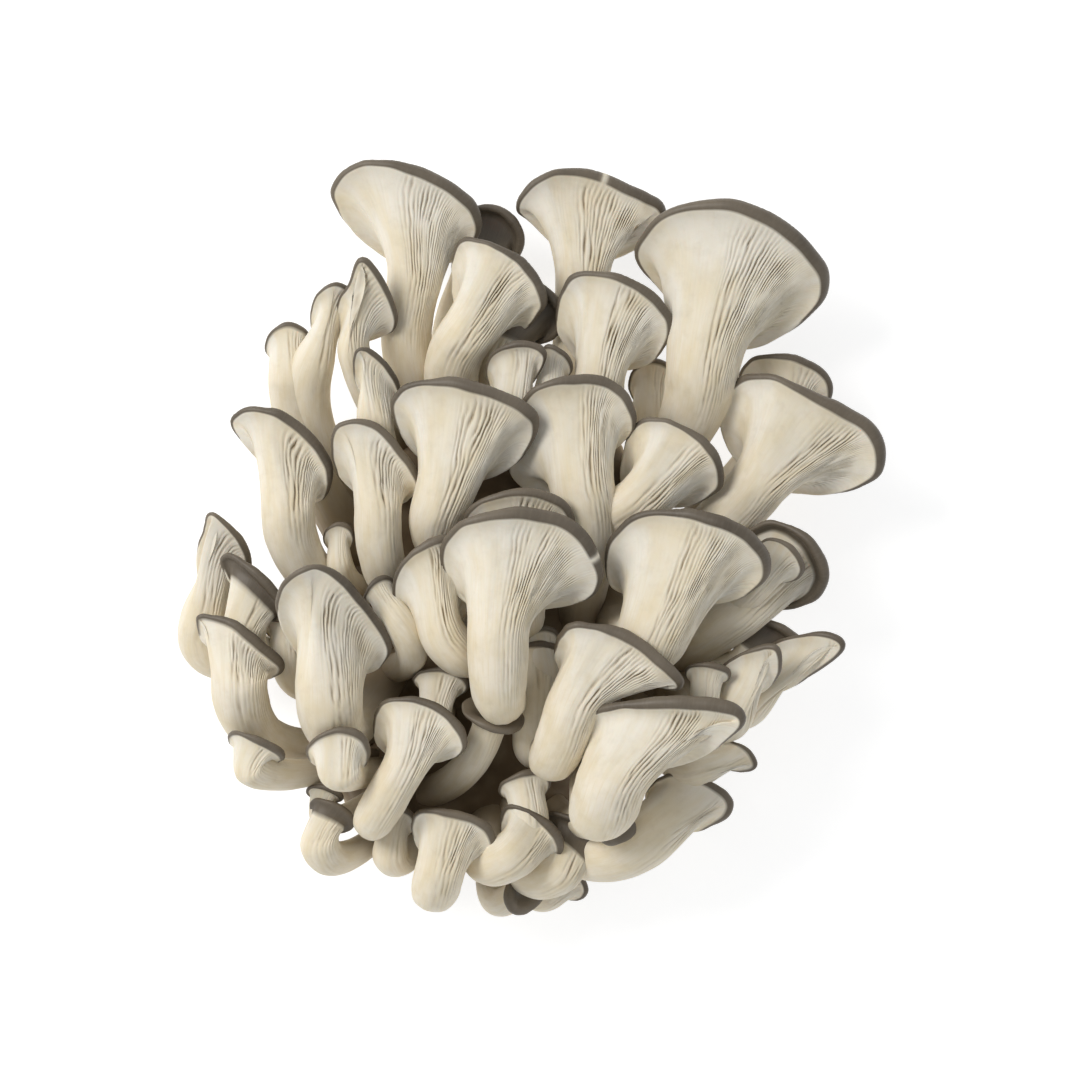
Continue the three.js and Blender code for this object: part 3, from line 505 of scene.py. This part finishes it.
    def addEdge(self):
        def place(angles):
            at, out, above = self.rim(angles)[:3]
            thickness = self.marginAt(angles)
            thinner = 1 - growth["thinnerBehind"] * smoothstep(*growth["thinSide"], np.sin(angles))
            turnedOut = out * thickness * thinner[:, None] * math.sin(turned)
            return at + turnedOut + above * thickness * (1 - math.cos(turned))

        for turned in np.linspace(0, math.pi, self.counts["edge"] + 2)[1:]:
            self.addRing(
                4 * self.gills, place, self.stemLength + self.span + self.margin * turned,
                gilled=gilling["atEdge"] * self.relief, between=1.0, thread=0.0,
                skin=lambda angles, gap: self.skinRound(turned, angles), deep=0.0)

    def addTop(self):
        def place(angles):
            at, out, above, outward = self.rim(angles)
            start = at + above * 2 * self.marginAt(angles)
            inward = np.linalg.norm(self.hollow - start, axis=1, keepdims=True)
            leaving = start - out * growth["topStiffness"] * inward
            arriving = self.hollow + outward * growth["topStiffness"] * inward
            return bezier(start, leaving, arriving, self.hollow, share)

        for share in np.linspace(0, 1, self.counts["top"] + 2)[1:-1]:
            self.addRing(
                (4 if share < 0.5 else 2) * self.gills, place, self.stemLength + self.span * (2 - share),
                gilled=0.0, between=0.0, thread=0.0, skin=1.0, deep=0.0)

    def allRings(self):
        self.addStem()
        self.addGilledSide()
        self.addEdge()
        self.addTop()
        return self.rings


# The faces between two rings. A ring may have twice or half as many points as the one before it.
def facesBetween(first, lower, second, upper):
    faces = []
    count = min(lower, upper)
    for k in range(count):
        after = (k + 1) % count
        if lower == upper:
            faces.append((first + k, second + k, second + after, first + after))
        elif upper > lower:
            faces.append((first + k, second + 2 * k, second + 2 * k + 1))
            faces.append((first + k, second + 2 * k + 1, first + after))
            faces.append((first + after, second + 2 * k + 1, second + 2 * after))
        else:
            faces.append((first + 2 * k, second + k, first + 2 * k + 1))
            faces.append((first + 2 * k + 1, second + k, second + after))
            faces.append((first + 2 * k + 1, second + after, first + 2 * after))
    return faces


def newObject(name, data):
    thing = bpy.data.objects.new(name, data)
    bpy.context.scene.collection.objects.link(thing)
    return thing


# One closed skin over all the rings.
def meshFromRings(name, rings, lastPoint):
    sizes = [len(ring["at"]) for ring in rings]
    starts = [int(start) for start in np.cumsum([0] + sizes)]
    faces = []
    for number in range(len(rings) - 1):
        faces += facesBetween(starts[number], sizes[number], starts[number + 1], sizes[number + 1])
    footCentre, topCentre, last = starts[-1], starts[-1] + 1, starts[-2]
    faces += [(k, (k + 1) % sizes[0], footCentre) for k in range(sizes[0])]
    faces += [(last + k, topCentre, last + (k + 1) % sizes[-1]) for k in range(sizes[-1])]

    ends = np.array([rings[0]["at"].mean(0), lastPoint])
    points = np.concatenate([ring["at"] for ring in rings] + [ends])
    mesh = bpy.data.meshes.new(name)
    mesh.from_pydata(((points - clusterMiddle) * millimetre).tolist(), [], faces)
    mesh.shade_smooth()
    for key in rings[0]:
        if key != "at":
            storeFact(mesh, key, rings)
    return newObject(name, mesh)


# Keeps one of the facts about the rings as an attribute of the points.
def storeFact(mesh, key, rings):
    parts = [np.broadcast_to(ring[key], (len(ring["at"]),) + np.shape(ring[key])[1:]) for ring in rings]
    values = np.concatenate(parts + [parts[0][:1], parts[-1][:1]]).astype(np.float32)
    isVector = values.ndim > 1
    layer = mesh.attributes.new(key, "FLOAT_VECTOR" if isVector else "FLOAT", "POINT")
    layer.data.foreach_set("vector" if isVector else "value", values.ravel())


# Adds a node. An input is given by its name or number, as a value or as the socket that feeds it.
def addNode(tree, kind, inputs=None, **settings):
    node = tree.nodes.new(kind)
    for name, value in settings.items():
        setattr(node, name, value)
    for name, value in (inputs or {}).items():
        socket = node.inputs[name]
        if isinstance(value, bpy.types.NodeSocket):
            tree.links.new(value, socket)
        else:
            socket.default_value = value
    return node


def calculate(tree, operation, *values, clamped=False):
    node = addNode(tree, "ShaderNodeMath", dict(enumerate(values)), operation=operation, use_clamp=clamped)
    return node.outputs[0]


def times(tree, *values):
    return calculate(tree, "MULTIPLY", *values)


def stretched(tree, vector, scale):
    node = addNode(tree, "ShaderNodeVectorMath", {0: vector, 1: scale}, operation="MULTIPLY")
    return node.outputs[0]


def newGroup(name, sizes):
    tree = bpy.data.node_groups.new(name, "GeometryNodeTree")
    tree.interface.new_socket("Geometry", in_out="INPUT", socket_type="NodeSocketGeometry")
    for label in sizes:
        tree.interface.new_socket(label, in_out="INPUT", socket_type="NodeSocketFloat")
    tree.interface.new_socket("Material", in_out="INPUT", socket_type="NodeSocketMaterial")
    tree.interface.new_socket("Geometry", in_out="OUTPUT", socket_type="NodeSocketGeometry")
    return tree, tree.nodes.new("NodeGroupInput").outputs, tree.nodes.new("NodeGroupOutput")


def namedValue(tree, name, kind="FLOAT"):
    return addNode(tree, "GeometryNodeInputNamedAttribute", {"Name": name}, data_type=kind).outputs[0]


# Moves the surface in and out, and ends the tree in its material.
def finishGroup(tree, given, output, height, crest):
    normal = tree.nodes.new("GeometryNodeInputNormal").outputs[0]
    offset = addNode(tree, "ShaderNodeVectorMath", {0: normal, "Scale": height}, operation="SCALE")
    stored = addNode(
        tree, "GeometryNodeStoreNamedAttribute",
        {"Geometry": given["Geometry"], "Name": "crest", "Value": crest}, data_type="FLOAT", domain="POINT")
    moved = addNode(
        tree, "GeometryNodeSetPosition", {"Geometry": stored.outputs[0], "Offset": offset.outputs[0]})
    real = addNode(tree, "GeometryNodeRealizeInstances", {0: moved.outputs[0]})
    dressed = addNode(
        tree, "GeometryNodeSetMaterial", {"Geometry": real.outputs[0], "Material": given["Material"]})
    tree.links.new(dressed.outputs[0], output.inputs[0])


# Noise from -1 to 1.
def reliefNoise(tree, vector, seed, scale, detail):
    noise = addNode(
        tree, "ShaderNodeTexNoise", {"Vector": vector, "W": seed, "Scale": scale, "Detail": detail},
        noise_dimensions="4D")
    return calculate(tree, "MULTIPLY_ADD", noise.outputs[0], 2.0, -1.0)


# The relief of a mushroom. Its noises lie on the grain, which is a circle round the stem and millimetres
# along it, and each is given by its scale there.
reliefLook = dict(
    gillHeight=0.8,  # from crest to valley on a wide cap, in millimetres
    valleyPower=2.6,  # how narrow the valleys are
    waver=0.7, driftGrain=(0.3, 0.3, 0.12),  # how much gills wander, in gills
    patchiness=2.4, patchGrain=(0.5, 0.5, 0.16),  # how unlike one another they are
    patchMiddle=0.85, patchLeast=0.05,  # height of the gills on the whole, and at least
    unevenness=0.6, swellGrain=(0.16, 0.16, 0.07),  # soft swells of the flesh, in millimetres
    fibreHeight=0.08, fibreGrain=(1.5, 1.5, 0.09),  # threads that run down the stem, in millimetres
)


# Gills: a long one at each whole number round the stem, and a short one between each two further out.
def makeGillRelief():
    tree, given, output = newGroup(
        "gillRelief", ("Gill Height", "Waver", "Patchiness", "Unevenness", "Fibre Height", "Seed"))
    grain = namedValue(tree, "grain", "FLOAT_VECTOR")

    def grainNoise(scale, shift, detail=1.0):
        seed = calculate(tree, "ADD", given["Seed"], shift)
        return reliefNoise(tree, stretched(tree, grain, scale), seed, 1.0, detail)

    drift = times(tree, grainNoise(reliefLook["driftGrain"], 0.0, 2.0), given["Waver"])
    around = calculate(tree, "ADD", namedValue(tree, "around"), drift)

    # crests from 0 to 1, so many to a long gill
    def crests(count):
        wave = calculate(tree, "COSINE", times(tree, around, 2 * math.pi * count))
        return calculate(tree, "MULTIPLY_ADD", wave, 0.5, 0.5)

    between = namedValue(tree, "between")
    longOnly = times(tree, crests(1), calculate(tree, "SUBTRACT", 1.0, between))
    crest = calculate(tree, "ADD", longOnly, times(tree, crests(2), between))
    valley = calculate(tree, "POWER", calculate(tree, "SUBTRACT", 1.0, crest), reliefLook["valleyPower"])
    valley = times(tree, valley, namedValue(tree, "gapDepth"))
    patch = calculate(
        tree, "MULTIPLY_ADD", grainNoise(reliefLook["patchGrain"], 7.0, 2.0), given["Patchiness"],
        reliefLook["patchMiddle"])
    patch = calculate(tree, "MAXIMUM", patch, reliefLook["patchLeast"])
    depth = times(tree, times(tree, valley, patch), namedValue(tree, "gilled"))
    crest = calculate(tree, "SUBTRACT", 1.0, depth)
    height = times(tree, depth, times(tree, given["Gill Height"], -1.0))

    swell = times(tree, grainNoise(reliefLook["swellGrain"], 13.0), given["Unevenness"])
    fibre = times(tree, grainNoise(reliefLook["fibreGrain"], 19.0, 2.0), given["Fibre Height"])
    fibre = times(tree, fibre, namedValue(tree, "thread"))
    height = calculate(tree, "ADD", height, calculate(tree, "ADD", swell, fibre))
    finishGroup(tree, given, output, height, crest)
    return tree


# The evaluated shape of a piece as a plain mesh, with its modifiers taken off again.
def flatten(piece):
    graph = bpy.context.evaluated_depsgraph_get()
    mesh = bpy.data.meshes.new_from_object(piece.evaluated_get(graph), depsgraph=graph)
    rough = piece.data
    piece.modifiers.clear()
    piece.data = mesh
    bpy.data.meshes.remove(rough)
    mesh.name = piece.name
    return piece


# Puts a piece through a tree. The inputs are set before anything is evaluated.
def settle(piece, tree, sizes, material):
    modifier = piece.modifiers.new(tree.name, "NODES")
    modifier.node_group = tree
    for item in tree.interface.items_tree:
        if item.in_out == "INPUT" and item.name in sizes:
            modifier[item.identifier] = sizes[item.name]
        if item.in_out == "INPUT" and item.name == "Material":
            modifier[item.identifier] = material
    return flatten(piece)


def newMaterial(name, **constants):
    material = bpy.data.materials.new(name)
    material.use_nodes = True
    tree = material.node_tree
    shader = tree.nodes["Principled BSDF"]
    for label, value in constants.items():
        shader.inputs[label.replace("_", " ")].default_value = value
    return material, tree, shader


def attribute(tree, name, output="Fac"):
    return addNode(tree, "ShaderNodeAttribute", attribute_name=name).outputs[output]


# A mix of two colours, whose sockets come after those for other kinds of values.
def mixed(tree, share, low, high):
    return addNode(tree, "ShaderNodeMix", {0: share, 6: low, 7: high}, data_type="RGBA").outputs[2]


# A colour given as it looks on a screen, from 0 to 255.
def screenColour(red, green, blue):
    def linear(value):
        value = value / 255
        return value / 12.92 if value <= 0.04045 else ((value + 0.055) / 1.055) ** 2.4
    return (linear(red), linear(green), linear(blue), 1)


def screenColours(colours):
    return {name: screenColour(*value) for name, value in colours.items()}


def noiseNode(tree, vector, scale, detail=2.0, roughness=0.5):
    return addNode(
        tree, "ShaderNodeTexNoise",
        {"Vector": vector, "Scale": scale, "Detail": detail, "Roughness": roughness}).outputs[0]


def remapped(tree, value, low, high, newLow=0.0, newHigh=1.0):
    return addNode(
        tree, "ShaderNodeMapRange",
        {"Value": value, "From Min": low, "From Max": high, "To Min": newLow, "To Max": newHigh}).outputs[0]


def addBumps(tree, shader, height, look):
    strength, distance = look["bumps"]
    bump = addNode(tree, "ShaderNodeBump", {"Strength": strength, "Distance": distance, "Height": height})
    tree.links.new(bump.outputs[0], shader.inputs["Normal"])


# The flesh and skin of a mushroom.
fleshColours = dict(
    # The last colour below gives the random mottles, and the painted shade in the gaps between the gills.
    cream=(236, 226, 206), warm=(222, 206, 168), pale=(236, 230, 216), valley=(152, 132, 101),
    # The first colour below is painted shade for the lower stems, towards the foot.
    deep=(120, 101, 74), skin=(113, 103, 88), darkSkin=(86, 77, 65), paleSkin=(134, 124, 109),
)
# Each pattern has a scale in space, or a grain, which is its scale across and along the stem. It comes up
# between a low and a high value, to that share of its colour.
fleshPatterns = dict(
    patches=dict(scale=38.0, detail=3.0, low=0.35, high=0.7, share=1.0),
    mottles=dict(scale=260.0, detail=4.0, roughness=0.6, low=0.5, high=0.75, share=0.12),
    streaks=dict(grain=(0.15, 0.15, 0.07), detail=3.0, roughness=0.55, low=0.4, high=0.75, share=0.7),
    threads=dict(grain=(1.9, 1.9, 0.07), detail=3.0, roughness=0.6, low=0.48, high=0.75, share=0.5),
    fibrils=dict(grain=(2.6, 2.6, 0.3), detail=4.0, roughness=0.6, low=0.45, high=0.8, share=0.25),
)
fleshLook = dict(
    palerOutward=(0.95, 0.25, -0.25, 0.75),  # from this to that much thread, what the pale share gains
    # the first value below is how strongly painted shade darkens the gaps between the gills
    valleyShadeShare=0.85, roughness=0.7, skinRoughness=0.5, gritScale=900.0, gritShare=0.35,
    bumps=(0.3, 0.0003),  # strength and height in metres
)


# The noise of a pattern, and how far it shows.
def makePattern(tree, place, grain, look):
    vector = place
    if "grain" in look:
        vector = addNode(tree, "ShaderNodeMapping", {"Vector": grain, "Scale": look["grain"]}).outputs[0]
    noise = noiseNode(tree, vector, look.get("scale", 1.0), look["detail"], look.get("roughness", 0.5))
    return noise, remapped(tree, noise, look["low"], look["high"], 0.0, look["share"])


def makeFlesh():
    material, tree, shader = newMaterial(
        "mushroomFlesh", Subsurface_Weight=0.1, Subsurface_Radius=(0.002, 0.0013, 0.0008),
        Subsurface_Scale=1.0)
    colours = screenColours(fleshColours)
    place = addNode(tree, "ShaderNodeTexCoord").outputs["Object"]
    grain = attribute(tree, "grain", "Vector")
    skin, crest, thread, deep = [attribute(tree, name) for name in ("skin", "crest", "thread", "deep")]
    noise, shown = {}, {}
    for name, look in fleshPatterns.items():
        noise[name], shown[name] = makePattern(tree, place, grain, look)

    # the flesh is palest towards the edge of the cap
    paler = remapped(tree, thread, *fleshLook["palerOutward"])
    paler = calculate(tree, "ADD", paler, noise["patches"], clamped=True)
    flesh = mixed(tree, paler, colours["cream"], colours["pale"])
    flesh = mixed(tree, shown["streaks"], flesh, colours["warm"])
    flesh = mixed(tree, shown["mottles"], flesh, colours["valley"])
    flesh = mixed(tree, times(tree, shown["threads"], thread), flesh, colours["warm"])
    # painted shade: the gaps between the gills are darkened towards the valley colour, where shade falls in
    # them
    paintedValleyShade = calculate(tree, "SUBTRACT", 1.0, crest)
    paintedValleyShade = calculate(tree, "MULTIPLY", paintedValleyShade, fleshLook["valleyShadeShare"], clamped=True)
    flesh = mixed(tree, paintedValleyShade, flesh, colours["valley"])
    # painted shade on the lower stems, towards the foot
    flesh = mixed(tree, deep, flesh, colours["deep"])
    skinColour = mixed(tree, shown["patches"], colours["skin"], colours["darkSkin"])
    skinColour = mixed(tree, shown["fibrils"], skinColour, colours["paleSkin"])
    tree.links.new(mixed(tree, skin, flesh, skinColour), shader.inputs["Base Color"])

    roughness = remapped(tree, skin, 0.0, 1.0, fleshLook["roughness"], fleshLook["skinRoughness"])
    tree.links.new(roughness, shader.inputs["Roughness"])
    threadBumps = times(tree, noise["threads"], fleshLook["gritShare"])
    grit = noiseNode(tree, place, fleshLook["gritScale"])
    bumps = calculate(tree, "MULTIPLY_ADD", grit, fleshLook["gritShare"], threadBumps)
    addBumps(tree, shader, bumps, fleshLook)
    return material


# The fused stems at the bottom and the face where they were cut, in metres. Cells stretched upwards make the
# mass look like stems grown together.
baseColours = dict(
    # The second colour below gives random blotches, and painted shade in the grooves between the fused
    # stems.
    flesh=(206, 190, 158), blotchAndGrooveShade=(158, 138, 106), cutFlesh=(222, 210, 184),
    between=(88, 70, 47),  # the shaded flesh between the mushrooms
)
baseLook = dict(
    voxel=0.0016, smoothings=4, bundleHeight=0.0011, unevenness=0.0008,
    cellStretch=(1, 1, 0.35), cellScale=95.0, grooveWidth=0.28, crestShare=0.7, swellScale=60.0,
    stillUpTo=0.0005, freeFrom=0.004,  # near the cut face nothing moves
    # each of these comes up between the first two values, from the third to the fourth
    blotches=(0.5, 0.8, 0.0, 0.55), cutBlotches=(0.4, 0.8, 0.0, 0.5),
    shaded=(0.008, 0.018, 0.0, 0.85), onCut=(0.0006, 0.0002, 0.0, 1.0),
    blotchScale=120.0, bumps=(0.5, 0.0005),
)


def makeBundleRelief():
    tree, given, output = newGroup("bundleRelief", ("Bundle Height", "Unevenness", "Seed"))
    place = tree.nodes.new("GeometryNodeInputPosition").outputs[0]
    cells = addNode(
        tree, "ShaderNodeTexVoronoi",
        {"Vector": stretched(tree, place, baseLook["cellStretch"]), "W": given["Seed"],
         "Scale": baseLook["cellScale"]}, voronoi_dimensions="4D", feature="DISTANCE_TO_EDGE").outputs[0]
    crest = addNode(
        tree, "ShaderNodeMapRange", {"Value": cells, "From Max": baseLook["grooveWidth"]},
        interpolation_type="SMOOTHSTEP").outputs[0]
    raised = calculate(tree, "SUBTRACT", crest, baseLook["crestShare"])
    raised = times(tree, raised, given["Bundle Height"])
    swell = reliefNoise(tree, place, given["Seed"], baseLook["swellScale"], 3.0)
    height = calculate(tree, "ADD", raised, times(tree, swell, given["Unevenness"]))
    level = addNode(tree, "ShaderNodeSeparateXYZ", {0: place}).outputs["Z"]
    free = remapped(tree, level, baseLook["stillUpTo"], baseLook["freeFrom"])
    finishGroup(tree, given, output, times(tree, height, free), crest)
    return tree


def makeBaseFlesh():
    material, tree, shader = newMaterial(
        "baseFlesh", Roughness=0.75, Subsurface_Weight=0.1, Subsurface_Radius=(0.003, 0.002, 0.0012),
        Subsurface_Scale=1.0)
    colours = screenColours(baseColours)
    place = addNode(tree, "ShaderNodeTexCoord").outputs["Object"]
    level = addNode(tree, "ShaderNodeSeparateXYZ", {0: place}).outputs["Z"]
    blotches = noiseNode(tree, place, baseLook["blotchScale"], detail=4.0)
    # painted shade: the grooves between the fused stems are darkened where shade falls in them
    flesh = mixed(tree, attribute(tree, "crest"), colours["blotchAndGrooveShade"], colours["flesh"])
    flesh = mixed(tree, remapped(tree, blotches, *baseLook["blotches"]), flesh, colours["blotchAndGrooveShade"])
    flesh = mixed(tree, remapped(tree, level, *baseLook["shaded"]), flesh, colours["between"])
    cutBlotches = remapped(tree, blotches, *baseLook["cutBlotches"])
    cut = mixed(tree, cutBlotches, colours["cutFlesh"], colours["flesh"])
    onCut = remapped(tree, level, *baseLook["onCut"])
    tree.links.new(mixed(tree, onCut, flesh, cut), shader.inputs["Base Color"])
    addBumps(tree, shader, blotches, baseLook)
    return material


def makeStemBase(material):
    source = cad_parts["stem_base"]
    mesh = source.data.copy()
    mesh.transform(source.matrix_world)
    piece = newObject("stemBase", mesh)
    merge = piece.modifiers.new("merge", "WELD")
    merge.merge_threshold = 0.00001
    remesh = piece.modifiers.new("remesh", "REMESH")
    remesh.mode = "VOXEL"
    remesh.voxel_size = baseLook["voxel"]
    remesh.use_smooth_shade = True
    smooth = piece.modifiers.new("smooth", "SMOOTH")
    smooth.iterations = baseLook["smoothings"]
    flatten(piece)
    return settle(piece, makeBundleRelief(), {
        "Bundle Height": baseLook["bundleHeight"],
        "Unevenness": baseLook["unevenness"],
        "Seed": 3.0}, material)


def makeMushroom(name, plan, seed, counts, relief, material):
    mushroom = Mushroom(plan, seed, counts)
    piece = meshFromRings(name + "Mushroom", mushroom.allRings(), mushroom.hollow)
    return settle(piece, relief, {
        "Gill Height": reliefLook["gillHeight"] * millimetre,
        "Waver": reliefLook["waver"],
        "Patchiness": reliefLook["patchiness"],
        "Unevenness": reliefLook["unevenness"] * millimetre * mushroom.relief,
        "Fibre Height": reliefLook["fibreHeight"] * millimetre * mushroom.relief,
        "Seed": float(seed)}, material)


# Floor, light and camera, in metres.
studio = dict(
    floorSize=8.0, floorColour=(0.55, 0.55, 0.55), floorGlow=0.7,
    worldColour=(0.96, 0.98, 1.0), worldStrength=0.53,
    keyAt=(-0.95, 0.6, 1.25), keySize=0.8, keyPower=16.0, keyColour=(1.0, 0.97, 0.93), keyAim=(0, 0, 0.03),
    cameraHeight=1.34, lens=144.4,
    cameraAt=(4.2, 0.45),  # in the rows' millimetres
)


def aimed(place, target):
    way = mathutils.Vector(target) - mathutils.Vector(place)
    return way.to_track_quat("-Z", "Y").to_euler()


def makeFloor():
    half = studio["floorSize"] / 2
    mesh = bpy.data.meshes.new("floor")
    corners = [(-half, -half, 0), (half, -half, 0), (half, half, 0), (-half, half, 0)]
    mesh.from_pydata(corners, [], [(0, 1, 2, 3)])
    floor = newObject("floor", mesh)
    material = newMaterial(
        "floorWhite", Roughness=0.9, Base_Color=(*studio["floorColour"], 1), Emission_Color=(1, 1, 1, 1),
        Emission_Strength=studio["floorGlow"])[0]
    mesh.materials.append(material)


def makeLight():
    world = bpy.data.worlds.new("studioWorld")
    world.use_nodes = True
    background = world.node_tree.nodes["Background"]
    background.inputs["Color"].default_value = (*studio["worldColour"], 1)
    background.inputs["Strength"].default_value = studio["worldStrength"]
    bpy.context.scene.world = world

    light = bpy.data.lights.new("key", "AREA")
    light.shape = "DISK"
    light.size = studio["keySize"]
    light.energy = studio["keyPower"]
    light.color = studio["keyColour"]
    key = newObject("key", light)
    key.location = studio["keyAt"]
    key.rotation_euler = aimed(studio["keyAt"], studio["keyAim"])


# The camera looks straight down.
def makeCamera():
    camera = newObject("camera", bpy.data.cameras.new("camera"))
    camera.data.lens = studio["lens"]
    camera.data.clip_end = 100
    x, y = (np.array(studio["cameraAt"]) - clusterMiddle[:2]) * millimetre
    camera.location = (x, y, studio["cameraHeight"])
    bpy.context.scene.camera = camera
    bpy.context.scene.view_settings.view_transform = "Standard"


makeFloor()
makeLight()
makeCamera()
print("floor, light and camera made")

stemBase = makeStemBase(makeBaseFlesh())
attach(stemBase, "root")
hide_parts("stem_base")
print("base made:", len(stemBase.data.polygons), "faces")

flesh = makeFlesh()
gillRelief = makeGillRelief()
seed = 0
for size, table in (("large", largeMushrooms), ("medium", mediumMushrooms), ("small", smallMushrooms)):
    triangles = 0
    for name, plan in table.items():
        seed += 1  # for this mushroom's own draws and noises
        piece = makeMushroom(name, plan, seed, ringCounts[size], gillRelief, flesh)
        nodeName = "mushroom_" + "".join("_" + c.lower() if c.isupper() else c for c in name)
        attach(piece, "root")
        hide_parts(nodeName)
        triangles += sum(len(face.vertices) - 2 for face in piece.data.polygons)
    print(size, "mushrooms made:", len(table), "with", triangles, "triangles")
